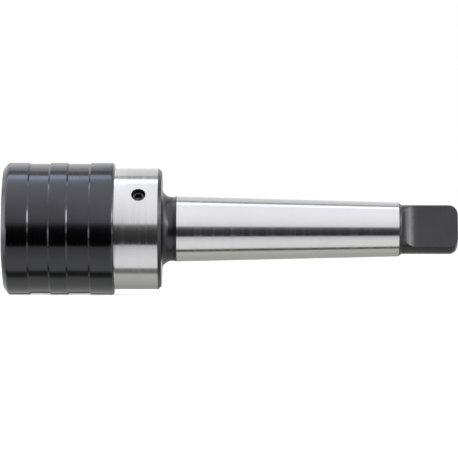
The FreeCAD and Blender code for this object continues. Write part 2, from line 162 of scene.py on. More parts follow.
@dataclass(frozen=True)
class MetalFinish:
    """A bare or blackened metal surface.

    Marks that run round the axis are noise stretched across the axis, so their spacing is set along X
    alone. Real marks are some hundredths of a millimetre apart, too fine to show, and are drawn coarser. An
    anisotropic finish takes its tangent from the turning UV map.
    """

    name: str
    colour: str
    stain: str
    roughness: float
    rough_spread: float
    lay: Lay
    mark_mm: float
    mark_depth_mm: float
    grain_mm: float
    grain_depth_mm: float
    anisotropy: float = 0.0
    stain_share: float = 0.5
    cloud_mm: float = 9.0
    stretch: float = 0.02

    def build(self) -> bpy.types.Material:
        """Make the material.

        Returns:
            A material that reads Object coordinates.
        """
        material, tree = blank(self.name)
        place = add_node(tree, "TexCoord", {}, "Object")
        fine = 1.0 / (self.mark_mm * MM)
        long = fine * self.stretch if self.lay is Lay.ROUND else fine
        stretched = add_node(tree, "Mapping", {"Scale": (fine, long, long), "Vector": place})
        marks, grain, cloud = (
            add_node(tree, "TexNoise", {"Scale": scale, "Detail": detail, "Roughness": rough, "Vector": spot})
            for scale, detail, rough, spot in (
                (1.0, 2.0, 0.6, stretched),
                (1.0 / (self.grain_mm * MM), 3.0, 0.55, place),
                (1.0 / (self.cloud_mm * MM), 4.0, 0.6, place),
            )
        )
        share = {"From Min": 0.35, "From Max": 0.75, "To Max": self.stain_share, "Value": cloud}
        tones = {6: linear(self.colour), 7: linear(self.stain), 0: add_node(tree, "MapRange", share)}
        colour = add_node(tree, "Mix", tones, 2, data_type="RGBA")
        least, most = self.roughness - self.rough_spread, self.roughness + self.rough_spread
        polish = {"From Min": 0.3, "From Max": 0.7, "To Min": least, "To Max": most, "Value": marks}
        bump = {"Strength": 1.0, "Distance": self.grain_depth_mm * MM, "Height": grain}
        bump = {"Distance": self.mark_depth_mm * MM, "Height": marks, "Normal": add_node(tree, "Bump", bump)}
        look = {
            "Base Color": colour,
            "Metallic": 1.0,
            "Roughness": add_node(tree, "MapRange", polish),
            "Anisotropic": self.anisotropy,
            "Normal": add_node(tree, "Bump", {"Strength": 1.0} | bump),
        }
        if self.anisotropy:
            look["Tangent"] = add_node(tree, "Tangent", {}, direction_type="UV_MAP", uv_map="turning")
        add_node(tree, "OutputMaterial", {"Surface": add_node(tree, "BsdfPrincipled", look)})
        return material


@dataclass(frozen=True)
class MouldedFinish:
    """A moulded rubber surface: matt, with the fine grain of the mould."""

    name: str
    colour: str
    roughness: float
    grain_mm: float
    grain_depth_mm: float
    spread: float = 0.08
    ior: float = 1.52

    def build(self) -> bpy.types.Material:
        """Make the material.

        Returns:
            A material that reads Object coordinates.
        """
        material, tree = blank(self.name)
        place = add_node(tree, "TexCoord", {}, "Object")
        fine = 1.0 / (self.grain_mm * MM)
        grain = add_node(tree, "TexNoise", {"Scale": fine, "Detail": 3.0, "Vector": place})
        least, most = self.roughness - self.spread, self.roughness + self.spread
        polish = {"To Min": least, "To Max": most, "Value": grain}
        bump = {"Strength": 1.0, "Distance": self.grain_depth_mm * MM, "Height": grain}
        look = {
            "Base Color": linear(self.colour),
            "IOR": self.ior,
            "Roughness": add_node(tree, "MapRange", polish),
            "Normal": add_node(tree, "Bump", bump),
        }
        add_node(tree, "OutputMaterial", {"Surface": add_node(tree, "BsdfPrincipled", look)})
        return material


class Finish(Enum):
    """Every finish on the head."""

    # Cylindrically ground steel: bright, with hairlines round the axis that draw a reflection out along it.
    GROUND = MetalFinish(
        "ground_steel", "#cbcbcd", "#c3c3c4", 0.13, 0.05, Lay.ROUND, 0.5, 0.0035, 1.2, 0.0005,
        anisotropy=0.55,
    )
    # Turned, hardened and left as it came from the furnace: grey-black scale that keeps the tool's marks.
    SCALE = MetalFinish(
        "hardened_scale_steel", "#404042", "#494949", 0.29, 0.06, Lay.ROUND, 0.45, 0.004, 0.5, 0.002,
        stain_share=0.6,
    )
    # Black oxide on turned steel: a thin magnetite film with oil in it, blue-black and satin.
    BLACK_OXIDE = MetalFinish(
        "black_oxide_steel", "#4b4b50", "#45464a", 0.14, 0.04, Lay.ROUND, 0.3, 0.0025, 0.7, 0.0012,
        anisotropy=0.3,
    )
    # Hardened steel, fine turned: the spindle and the washers, which show a soft grey sheen.
    TURNED = MetalFinish(
        "fine_turned_steel", "#b4b2ae", "#9d9a94", 0.27, 0.06, Lay.ROUND, 0.35, 0.004, 0.9, 0.001
    )
    # Through-hardened and lapped: a mirror with faint haze.
    BALL = MetalFinish(
        "lapped_ball_steel", "#d2d2d2", "#c9c9c9", 0.08, 0.02, Lay.NONE, 0.8, 0.0003, 0.6, 0.0002
    )
    # Drawn and blued wire: dark, with a satin line of light along each coil.
    WIRE = MetalFinish(
        "drawn_spring_wire", "#6f7178", "#585a62", 0.3, 0.06, Lay.NONE, 0.5, 0.002, 0.25, 0.002
    )
    # Blackened cold-headed steel of the screws: dull, slightly mottled.
    FASTENER = MetalFinish(
        "blackened_screw_steel", "#4a4a4c", "#565554", 0.24, 0.07, Lay.NONE, 0.4, 0.003, 0.3, 0.003
    )
    # Turned free-cutting brass: warm and bright, with round tool marks.
    BRASS = MetalFinish("turned_brass", "#d6b467", "#b8924b", 0.24, 0.06, Lay.NONE, 0.3, 0.003, 0.5, 0.001)
    # Nitrile rubber: near black and matt.
    RUBBER = MouldedFinish("nitrile_rubber", "#1c1c1d", 0.62, 0.35, 0.01)


class Finishes:
    """The built materials, one for each finish."""

    def __init__(self) -> None:
        """Build them all."""
        self.materials = {finish: finish.value.build() for finish in Finish}

    def of(self, *finishes: Finish) -> list[bpy.types.Material]:
        """The materials of some finishes, in order."""
        return [self.materials[finish] for finish in finishes]


# Surfaces


def clock(theta: Array | float) -> Array:
    """Unit vectors across the axis: minus the cosine along Y and the sine along Z.

    Args:
        theta: angles in radians, from -Y towards +Z.

    Returns:
        An array with a last axis of three.
    """
    return np.stack([np.zeros_like(theta), -np.cos(theta), np.sin(theta)], -1)


def sweep(x: Array, r: Array, around: Array) -> Array:
    """Add x along the axis to r times the unit vectors round it. It serves for places and for directions.

    Args:
        x: distance along the axis.
        r: distance from the axis.
        around: unit vectors across the axis.

    Returns:
        Points, with a last axis of three.
    """
    return x[..., None] * ALONG + r[..., None] * around


def unit(ways: Array) -> Array:
    """Directions brought to a length of one."""
    return ways / np.linalg.norm(ways, axis=-1, keepdims=True)


def full_turn(columns: int = COLUMNS) -> Array:
    """Evenly spread angles once round, with the first again at the end."""
    return np.linspace(0, FULL, columns + 1)


@dataclass
class Outline:
    """A drawn half section.

    x and r place each point, nx and nr are the way the surface faces there, and zone numbers the corner it
    follows.
    """

    x: Array
    r: Array
    nx: Array
    nr: Array
    zone: NDArray[np.int64]

    def columns(self) -> tuple[Array, ...]:
        """x, r, nx and nr, each as one column."""
        return tuple(part[:, None] for part in (self.x, self.r, self.nx, self.nr))


def outline(corners: Corners, segments: int = 3, closed: bool = True) -> Outline:
    """Round the corners of a half section with small arcs.

    At each corner the direction of travel turns evenly from one edge's to the next's. The arc's centre is
    one radius to the side that the path turns to, from the point where the arc starts, and the arc's point
    is one radius back from the centre, square to the direction of travel. The surface faces the left of the
    path.

    Args:
        corners: x, r and arc radius of each corner, in order.
        segments: pieces of each arc.
        closed: whether the last corner joins the first.

    Returns:
        The rounded outline.
    """
    table = np.array(corners, float)
    point, radius = table[:, :2], table[:, 2]
    before = point - np.roll(point, 1, 0)
    after = np.roll(point, -1, 0) - point
    if not closed:
        before[0], after[-1] = after[0], before[-1]
    before, after = unit(before), unit(after)
    heading = np.arctan2(before[:, 1], before[:, 0])
    left = np.stack([-before[:, 1], before[:, 0]], 1)
    turn = np.arctan2((left * after).sum(1), (before * after).sum(1))
    bend = (np.sign(turn) * radius)[:, None]
    start = point - before * (radius * np.tan(np.abs(turn) / 2))[:, None]
    angle = heading[:, None] + turn[:, None] * np.linspace(0, 1, segments + 1)
    across = np.stack([-np.sin(angle), np.cos(angle)], 2)
    spot = (start + left * bend)[:, None, :] - across * bend[..., None]
    keep = np.ones(spot.shape[:2], bool)
    keep[:, 1:] = (np.abs(turn) > TINY)[:, None]
    zone = np.repeat(np.arange(len(table))[:, None], segments + 1, 1)
    return Outline(*spot[keep].T, *across[keep].T, zone[keep])


@dataclass
class Skin:
    """A quilt of four-cornered faces, each with its own corner places, directions and pattern coordinates."""

    place: list[Array] = field(default_factory=list)
    facing: list[Array] = field(default_factory=list)
    pattern: list[Array] = field(default_factory=list)
    finish: list[NDArray[np.int64]] = field(default_factory=list)

    def add_grid(
        self, place: Array, facing: Array, pattern: Array | None = None, finish: int | NDArray[np.int64] = 0,
        skip: NDArray[np.bool_] | None = None,
    ) -> None:
        """Add the faces of a grid of points.

        Args:
            place: rows by columns by three, in millimetres.
            facing: the surface's direction at each point, or at each face.
            pattern: rows by columns by two, or nothing for row and column distances of one.
            finish: the finish's number, for the whole grid or for each row of faces.
            skip: faces to leave out.
        """
        rows, columns = place.shape[0] - 1, place.shape[1] - 1

        def corners(grid: Array) -> Array:
            """Four corners of each face, in order round it."""
            return np.stack([grid[:-1, :-1], grid[1:, :-1], grid[1:, 1:], grid[:-1, 1:]], 2)

        if pattern is None:
            down, over = np.meshgrid(np.arange(rows + 1.0), np.arange(columns + 1.0), indexing="ij")
            pattern = np.stack([over, down], 2)
        by_face = facing.shape[0] == rows
        keep = np.ones((rows, columns), bool) if skip is None else ~skip
        self.place.append(corners(place)[keep])
        self.facing.append((np.repeat(facing[:, :, None, :], 4, 2) if by_face else corners(facing))[keep])
        self.pattern.append(corners(pattern)[keep])
        self.finish.append(np.broadcast_to(np.asarray(finish).reshape(-1, 1), (rows, columns))[keep])

    def build(self, name: str, materials: list[bpy.types.Material]) -> bpy.types.Object:
        """Weld the faces and make one mesh.

        Corners within a ten-thousandth of a millimetre are one vertex, a face that loses a corner becomes a
        triangle, and one that loses two is dropped. Faces are turned to agree with the directions given.

        Args:
            name: the piece's name.
            materials: one for each finish number.

        Returns:
            The new object, at the origin.
        """
        spot, way, chart, number = map(np.concatenate, (self.place, self.facing, self.pattern, self.finish))
        diagonals = np.cross(spot[:, 2] - spot[:, 0], spot[:, 3] - spot[:, 1])
        wrong = (diagonals * way.sum(1)).sum(1) < 0
        for stack in (spot, way, chart):
            stack[wrong] = stack[wrong][:, ::-1]
        keys = np.round(spot.reshape(-1, 3) * 1e4).astype(np.int64)
        _, first, corner = np.unique(keys, axis=0, return_index=True, return_inverse=True)
        corner = corner.reshape(-1, 4)
        own = corner != np.roll(corner, -1, 1)
        own &= ~((corner[:, [0]] == corner[:, [2]]) | (corner[:, [1]] == corner[:, [3]]))
        totals = own.sum(1)
        own[totals < 3] = False
        number, totals = number[totals >= 3], totals[totals >= 3]
        vertices = spot.reshape(-1, 3)[first] * MM
        mesh = bpy.data.meshes.new(name)
        mesh.vertices.add(len(vertices))
        mesh.vertices.foreach_set("co", vertices.astype(np.float32).ravel())
        mesh.loops.add(int(totals.sum()))
        mesh.loops.foreach_set("vertex_index", corner[own].astype(np.int32))
        mesh.polygons.add(len(totals))
        mesh.polygons.foreach_set("loop_start", (np.cumsum(totals) - totals).astype(np.int32))
        mesh.update(calc_edges=True)
        mesh.polygons.foreach_set("use_smooth", np.ones(len(totals), bool))
        mesh.polygons.foreach_set("material_index", number.astype(np.int32))
        mesh.uv_layers.new(name="turning").data.foreach_set("uv", chart[own].astype(np.float32).ravel())
        mesh.normals_split_custom_set(unit(way[own]).astype(np.float32))
        for material in materials:
            mesh.materials.append(material)
        return link_object(name, mesh)


def turned_grid(
    section: Outline, theta: Array, centre: Array | float = 0.0, closed: bool = True
) -> tuple[Array, Array, Array]:
    """Carry a half section round an axis parallel to X.

    Each point is its x along the axis plus r times the unit vector of its angle. Its direction is nx along
    the axis plus nr times the same vector. Its pattern is the way round and the way along, in millimetres.

    Args:
        section: the outline.
        theta: angles of the columns.
        centre: a point of the axis.
        closed: whether the last row joins the first.

    Returns:
        Places, directions and pattern coordinates.
    """
    around = clock(theta)
    x, r, nx, nr = section.columns()
    place, facing = sweep(x, r, around) + centre, sweep(nx, nr, around)
    run = np.cumsum(np.hypot(np.diff(x, axis=0, prepend=x[:1]), np.diff(r, axis=0, prepend=r[:1])))[:, None]
    pattern = np.stack(np.broadcast_arrays(theta * max(r.max(), 0.1), run), 2)
    if closed:
        last = pattern[-1:] + [0.0, math.hypot(x[0, 0] - x[-1, 0], r[0, 0] - r[-1, 0])]
        place, facing = (np.concatenate([grid, grid[:1]]) for grid in (place, facing))
        pattern = np.concatenate([pattern, last])
    return place, facing, pattern


@dataclass
class Seat:
    """A place and three square directions: u and v across a feature, and w out of it."""

    origin: Array
    u_way: Array
    v_way: Array
    w_way: Array

    @classmethod
    def radial(cls, x: float, degrees: float) -> "Seat":
        """A seat on the axis at x, whose w points out at a clock angle and whose u points along the axis."""
        out = clock(math.radians(degrees))
        return cls(ALONG * x, ALONG, np.cross(out, ALONG), out)

    @classmethod
    def to_nose(cls, x: float) -> "Seat":
        """A seat on the axis at x, whose w points to the nose."""
        side = np.array([0.0, -1.0, 0.0])
        return cls(ALONG * x, side, np.cross(-ALONG, side), -ALONG)

    def ways(self, u: Array, v: Array, w: Array) -> Array:
        """Directions with the parts u, v and w. Added to the origin they are places."""
        return u[..., None] * self.u_way + v[..., None] * self.v_way + w[..., None] * self.w_way

    def rings(
        self, skin: Skin, angle: Array, size: Array | float, level: Array | float, radial: Array | float,
        out: Array | float, finish: int = 0, slant: Array | None = None,
    ) -> None:
        """Add rings of points round w.

        Args:
            skin: the quilt to add to.
            angle: angle of each column round w.
            size: distance from w of each ring's points.
            level: their distance along w.
            radial: how much they face away from w.
            out: how much they face along w.
            finish: the finish's number.
            slant: the angle that they face, where it isn't the column's own.
        """
        angle, size, level, radial, out = np.broadcast_arrays(angle, size, level, radial, out)
        way = angle if slant is None else slant + 0 * angle
        place = self.origin + self.ways(size * np.cos(angle), size * np.sin(angle), level)
        skin.add_grid(place, self.ways(radial * np.cos(way), radial * np.sin(way), out), finish=finish)

    def turned(self, skin: Skin, corners: Corners, columns: int = SMALL_COLUMNS) -> None:
        """Carry an open half section round w.

        Args:
            skin: the quilt to add to.
            corners: distance along w, distance from it and arc radius of each corner.
            columns: faces round the axis.
        """
        x, r, nx, nr = outline(corners, closed=False).columns()
        self.rings(skin, full_turn(columns), r, x, nr, nx)


@dataclass
class Thread:
    """A right-hand thread: a triangle wave, one wave for each pitch along w, moved on one wave for each turn.

    It fades in and out at its ends, the quicker the higher steep is.
    """

    height: float
    steep: float
    pitch: float = 0.7
    lean: float = 0.7

    def wave(self, angle: Array, depth: Array, share: Array) -> tuple[Array, Array]:
        """Work out the groove.

        Args:
            angle: angles round w.
            depth: places along w.
            share: the same, as a share of the thread's length.

        Returns:
            How deep it is cut, and how much its side leans along w.
        """
        fade = np.clip(share * self.steep, 0, 1) * np.clip((1 - share) * self.steep, 0, 1)
        phase = np.mod(depth / self.pitch - angle / FULL, 1.0)
        return self.height * fade * (1 - np.abs(2 * phase - 1)), self.lean * fade * np.sign(phase - 0.5)


def stitch(one: Array, two: Array) -> tuple[NDArray[np.int64], NDArray[np.int64]]:
    """Pair the columns of two closed rings, so that a strip of faces joins them with no gap.

    Each ring's point is kept until the angle of its next one is reached.

    Args:
        one: angle of each column of the first ring, the last being the first again.
        two: the same for the second ring.

    Returns:
        The column of each ring at every step round the strip.
    """
    steps = np.sort(np.concatenate([one[:-1], two[:-1]]) % FULL)

    def columns(angle: Array) -> NDArray[np.int64]:
        """Find the ring's last column at or before each step.

        Args:
            angle: angle of each column.

        Returns:
            The column at each step.
        """
        order = np.argsort(angle)
        at = np.searchsorted(angle[order], steps, side="right") - 1
        return order[np.append(at, at[0])]

    return columns(one[:-1] % FULL), columns(two[:-1] % FULL)


@dataclass
class Wall:
    """A turned surface that holes are cut in."""

    section: Outline
    theta: Array

    def __post_init__(self) -> None:
        """Work out its grid, with no face left out yet."""
        self.place, self.facing, self.pattern = turned_grid(self.section, self.theta, closed=False)
        self.skip = np.zeros((len(self.section.x) - 1, len(self.theta) - 1), bool)

    def add(self, skin: Skin, finish: int | NDArray[np.int64]) -> None:
        """Add the faces that no hole has taken, with a finish for all or for each row."""
        skin.add_grid(self.place, self.facing, self.pattern, finish, self.skip)


@dataclass
class RadialHole:
    """A round hole through a cylinder's wall, square to the axis.

    A block of the cylinder's grid is left out, and rings that run from the block's rim to the hole's fill
    it. A ring's point is u along the axis and v across it from the hole's centre, and lies on the cylinder
    at the depth whose square is the cylinder's radius squared less v squared.
    """

    x: float
    degrees: float
    radius: float

    def block(self, wall: Wall, wall_r: float, half: float) -> Array:
        """Leave out the part of a turned grid that holds the hole.

        Args:
            wall: the turned surface, with rows at half before and after the hole.
            wall_r: the cylinder's radius.
            half: half the block's size.

        Returns:
            The points round the block, the last being the first again.
        """
        section, theta = wall.section, wall.theta
        on_wall = (np.abs(section.r - wall_r) < TINY) & (np.abs(section.x - self.x) < half + TINY)
        rows = np.flatnonzero(on_wall)
        middle = math.radians(self.degrees)
        middle += FULL * math.floor((theta[-1] - middle) / FULL)
        spread = math.asin(half / wall_r)
        low = np.searchsorted(theta, middle - spread) - 1
        high = np.searchsorted(theta, middle + spread)
        wall.skip[rows[0]:rows[-1], low:high] = True
        piece = wall.place[rows[0]:rows[-1] + 1, low:high + 1]
        sides = piece[0, :-1], piece[:-1, -1], piece[-1, :0:-1], piece[:0:-1, 0], piece[0, :1]
        return np.concatenate(sides)

    def patch(
        self, skin: Skin, wall: Wall, wall_r: float, half: float, edge: float, inward: bool = False,
        finish: int = 0,
    ) -> tuple[Array, Array]:
        """Cut the hole in a wall, with a rounded edge.

        Args:
            skin: the quilt to add to.
            wall: the turned surface.
            wall_r: the cylinder's radius.
            half: half the size of the block that is left out.
            edge: radius of the hole's edge rounding.
            inward: whether the surface faces the axis.
            finish: the finish's number.

        Returns:
            Angle of each column of the hole's rim, and the depth at which its straight wall starts.
        """
        seat = Seat.radial(self.x, self.degrees)
        rim = self.block(wall, wall_r, half) - seat.origin
        u, v = rim @ seat.u_way, rim @ seat.v_way
        angle = np.unwrap(np.arctan2(v, u))
        cos, sin = np.cos(angle), np.sin(angle)
        size = (self.radius + edge) + (np.hypot(u, v) - self.radius - edge) * np.linspace(1, 0, 6)[:, None]
        depth = np.sqrt(wall_r**2 - (size * sin)**2)
        sign = -1.0 if inward else 1.0
        facing = seat.ways(0 * size, size * sin, depth) * sign / wall_r
        skin.add_grid(seat.origin + seat.ways(size * cos, size * sin, depth), facing, finish=finish)
        turn = np.linspace(0, math.pi / 2, 5)[:, None]
        size = self.radius + edge * (1 - np.sin(turn)) + 0 * angle
        depth = np.sqrt(wall_r**2 - (size * sin)**2) - sign * edge * (1 - np.cos(turn))
        across = seat.ways(-cos, -sin, 0 * angle)
        facing = np.cos(turn)[..., None] * facing[-1] + np.sin(turn)[..., None] * across
        skin.add_grid(seat.origin + seat.ways(size * cos, size * sin, depth), facing, finish=finish)
        return angle, depth[-1]

    def bore(
        self, skin: Skin, angle: Array, start: Array, end: float, finish: int = 0,
        thread: Thread | None = None,
    ) -> None:
        """Line the hole from one depth to another.

        With a thread the wall stands in by the depth of the thread's wave.

        Args:
            skin: the quilt to add to.
            angle: angle of each column.
            start: depth of the wall's start at each column.
            end: depth of its end.
            finish: the finish's number.
            thread: the thread, where there is one.
        """
        share = np.linspace(0, 1, 90 if thread else 2)[:, None]
        depth = start * (1 - share) + end * share
        cut, lean = thread.wave(angle, depth, share) if thread else (0.0, 0.0)
        Seat.radial(self.x, self.degrees).rings(skin, angle, self.radius - cut, depth, -1.0, lean, finish)

    def step(
        self, skin: Skin, upper: tuple[Array, float, float], lower: tuple[Array, float, float],
        finish: int = 0,
    ) -> None:
        """Join two rims of the hole that have different columns.

        The face looks up, or towards the hole's middle.

        Args:
            skin: the quilt to add to.
            upper: the first rim's angles, radius and depth.
            lower: the second rim's.
            finish: the finish's number.
        """
        one, two = stitch(upper[0], lower[0])
        angle = np.stack([upper[0][one], lower[0][two]])
        size, depth = (np.array([[upper[i]], [lower[i]]]) for i in (1, 2))
        inward, up = lower[2] - upper[2], upper[1] - lower[1]
        Seat.radial(self.x, self.degrees).rings(skin, angle, size, depth, inward, up, finish)


@dataclass
class HexSocket:
    """A hexagon socket in a screw's end.

    The hexagon's edge lies at half the size across flats, divided by the cosine of the angle from the
    nearest flat's middle. The end face runs from that edge out to a circle, and the bottom is a drilled
    cone.
    """

    across_flats: float
    depth: float
    flare: float = 0.12

    def cut(self, skin: Skin, seat: Seat, top: float, outer_r: float) -> None:
        """Add the end face, the socket's walls and its coned bottom.

        Args:
            skin: the quilt to add to.
            seat: its w is the screw's axis, pointing out of the socket.
            top: place of the end face along w.
            outer_r: radius that the face reaches.
        """
        angle = full_turn(SMALL_COLUMNS)
        offset = np.mod(angle, math.pi / 3) - math.pi / 6
        half = self.across_flats / 2
        rim = half / np.cos(offset)
        mouth = np.maximum(rim, half + self.flare)
        seat.rings(skin, angle, mouth + (outer_r - mouth) * np.linspace(1, 0, 4)[:, None], top, 0.0, 1.0)
        lead = top - (mouth - rim) * 0.9
        seat.rings(skin, angle, np.stack([mouth, rim]), np.stack([top + 0 * rim, lead]), -1.0, 1.0)
        floor = top - self.depth
        seat.rings(skin, angle, rim, np.stack([lead, floor + 0 * rim]), -1.0, 0.0, slant=angle - offset)
        share = np.array([1.0, 0.5, 0.0])[:, None]
        seat.rings(skin, angle, rim * share, floor - half * 0.4 * (1 - share), -0.35, 1.0)


# The head's sub-assemblies


def groove(start: float, end: float, level: float, bottom: float, edge: float, root: float) -> Corners:
    """Corners of a square groove's section, on the way from its start to its end."""
    return [(start, level, edge), (start, bottom, root), (end, bottom, root), (end, level, edge)]


def square_ring(
    front: float, rear: float, inner_r: float, outer_r: float, outer: float, inner: float
) -> Corners:
    """Corners of a ring's section, with the radii of its outer and its inner edges."""
    return [(front, outer_r, outer), (rear, outer_r, outer), (rear, inner_r, inner), (front, inner_r, inner)]


def flat_ring(
    skin: Skin, x: float, around: Array, start: Array, end: Array | float, rows: int, way: float,
    finish: int = 0,
) -> None:
    """Add a flat face square to the axis, in rings from one outline to another.

    Args:
        skin: the quilt to add to.
        x: its place along the axis.
        around: unit vectors of the columns.
        start: distance of each column's first point from the axis.
        end: the same for its last.
        rows: rings of points.
        way: plus or minus one, for the way it faces along the axis.
        finish: the finish's number.
    """
    r = start + (end - start) * np.linspace(0, 1, rows)[:, None]
    place = sweep(np.full_like(r, x), r, around)
    skin.add_grid(place, np.broadcast_to(way * ALONG, place.shape), finish=finish)


@dataclass
class SubAssembly:
    """A group of pieces, and the finishes that they are dressed in."""

    finishes: Finishes

    def dress(
        self, skin: Skin, looks: tuple[Finish, ...], name: str, body: str, slot: str, *nodes: str
    ) -> bpy.types.Object:
        """Make a piece, hang it on its body, and let it stand for its CAD nodes.

        Args:
            skin: the piece's quilt.
            looks: its finishes, one for each finish number.
            name: the piece's name.
            body: the CAD body that carries it.
            slot: the record's material slot; not used.
            nodes: the CAD nodes that it replaces.

        Returns:
            The piece.
        """
        piece = skin.build(name, self.finishes.of(*looks))
        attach(piece, body)
        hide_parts(*nodes)
        log.info("%s rides on %s: %d faces", piece.name, body, len(piece.data.polygons))
        return piece

    def dress_ring(
        self, corners: Corners, look: Finish, name: str, body: str, slot: str, node: str,
        columns: int = COLUMNS,
    ) -> None:
        """Make and dress a piece that is one closed half section carried round the axis.

        Args:
            corners: x, r and arc radius of each corner.
            look: its finish.
            name: the piece's name.
            body: the CAD body that carries it.
            slot: the record's material slot.
            node: the CAD node that it replaces.
            columns: faces round the axis.
        """
        skin = Skin()
        skin.add_grid(*turned_grid(outline(corners), full_turn(columns)))
        self.dress(skin, (look,), name, body, slot, node)


@dataclass
class LockingSleeve(SubAssembly):
    """The black sleeve that is pulled back to release the tap adapter, with its wiper ring.

    From the rear forward, its inside is the spring's bore, a land that keeps the balls in, a cone and a
    pocket that let them out as the sleeve goes back, a land with the wiper's groove, and a bore that clears
    the circlip.
    """

    front: float = -52.5
    rear: float = -21.9
    outer_r: float = 18.2
    bevel_length: float = 1.3
    bevel_depth: float = 1.5
    bevel_round: float = 1.0
    rear_round: float = 0.85
    grip_depth: float = 0.27
    grip_ramp: float = 0.45
    grips: tuple[tuple[float, float], ...] = ((-45.3, -39.65), (-34.7, -28.6))
    bore_r: float = 16.9
    bore_end: float = -39.5
    lead: float = 0.3
    land_r: float = 13.25
    land_end: float = -39.75
    pocket_r: float = 14.993
    pocket_start: float = -44.88
    pocket_end: float = -47.0
    groove_r: float = 14.5
    groove_rear: float = -48.3
    groove_front: float = -49.6
    front_bore_r: float = 14.61
    front_bore_end: float = -50.9
    wiper_play: float = 0.05
    wiper_round: float = 0.15
    edge: float = 0.07

    def section(self) -> Corners:
        """Draw the half section.

        Returns:
            Its corners, from the front bevel back along the outside and forward along the inside.
        """
        low, half, edge = self.outer_r - self.grip_depth, self.grip_ramp / 2, self.edge
        corners = [(self.front + self.bevel_length, self.outer_r, self.bevel_round)]
        for start, end in self.grips:
            corners += [(start - half, self.outer_r, 0.12), (start + half, low, 0.1)]
            corners += [(end - half, low, 0.1), (end + half, self.outer_r, 0.12)]
        return corners + [
            (self.rear, self.outer_r, self.rear_round),
            (self.rear, self.bore_r + self.lead, edge), (self.rear - self.lead, self.bore_r, edge),
            (self.bore_end, self.bore_r, 0.15), (self.bore_end, self.land_r, edge),
            (self.land_end, self.land_r, edge), (self.pocket_start, self.pocket_r, edge),
            (self.pocket_end, self.pocket_r, 0.15), (self.pocket_end, self.land_r, edge),
            *groove(self.groove_rear, self.groove_front, self.land_r, self.groove_r, 0.04, 0.1),
            (self.front_bore_end, self.land_r, edge), (self.front_bore_end, self.front_bore_r, 0.15),
            (self.front, self.front_bore_r, 0.12), (self.front, self.outer_r - self.bevel_depth, 0.1),
        ]

    def build(self) -> None:
        """Make the sleeve and its wiper ring."""
        self.dress_ring(
            self.section(), Finish.BLACK_OXIDE, "sleeve_skin", "sleeve", "black_oxide", "locking_sleeve"
        )
        play, bend = self.wiper_play, self.wiper_round
        front, rear = self.groove_front + play, self.groove_rear - play
        ring = square_ring(front, rear, self.land_r, self.groove_r - play, bend, bend)
        self.dress_ring(ring, Finish.RUBBER, "wiper_ring", "sleeve", "seal_rubber", "sleeve_wiper_ring")


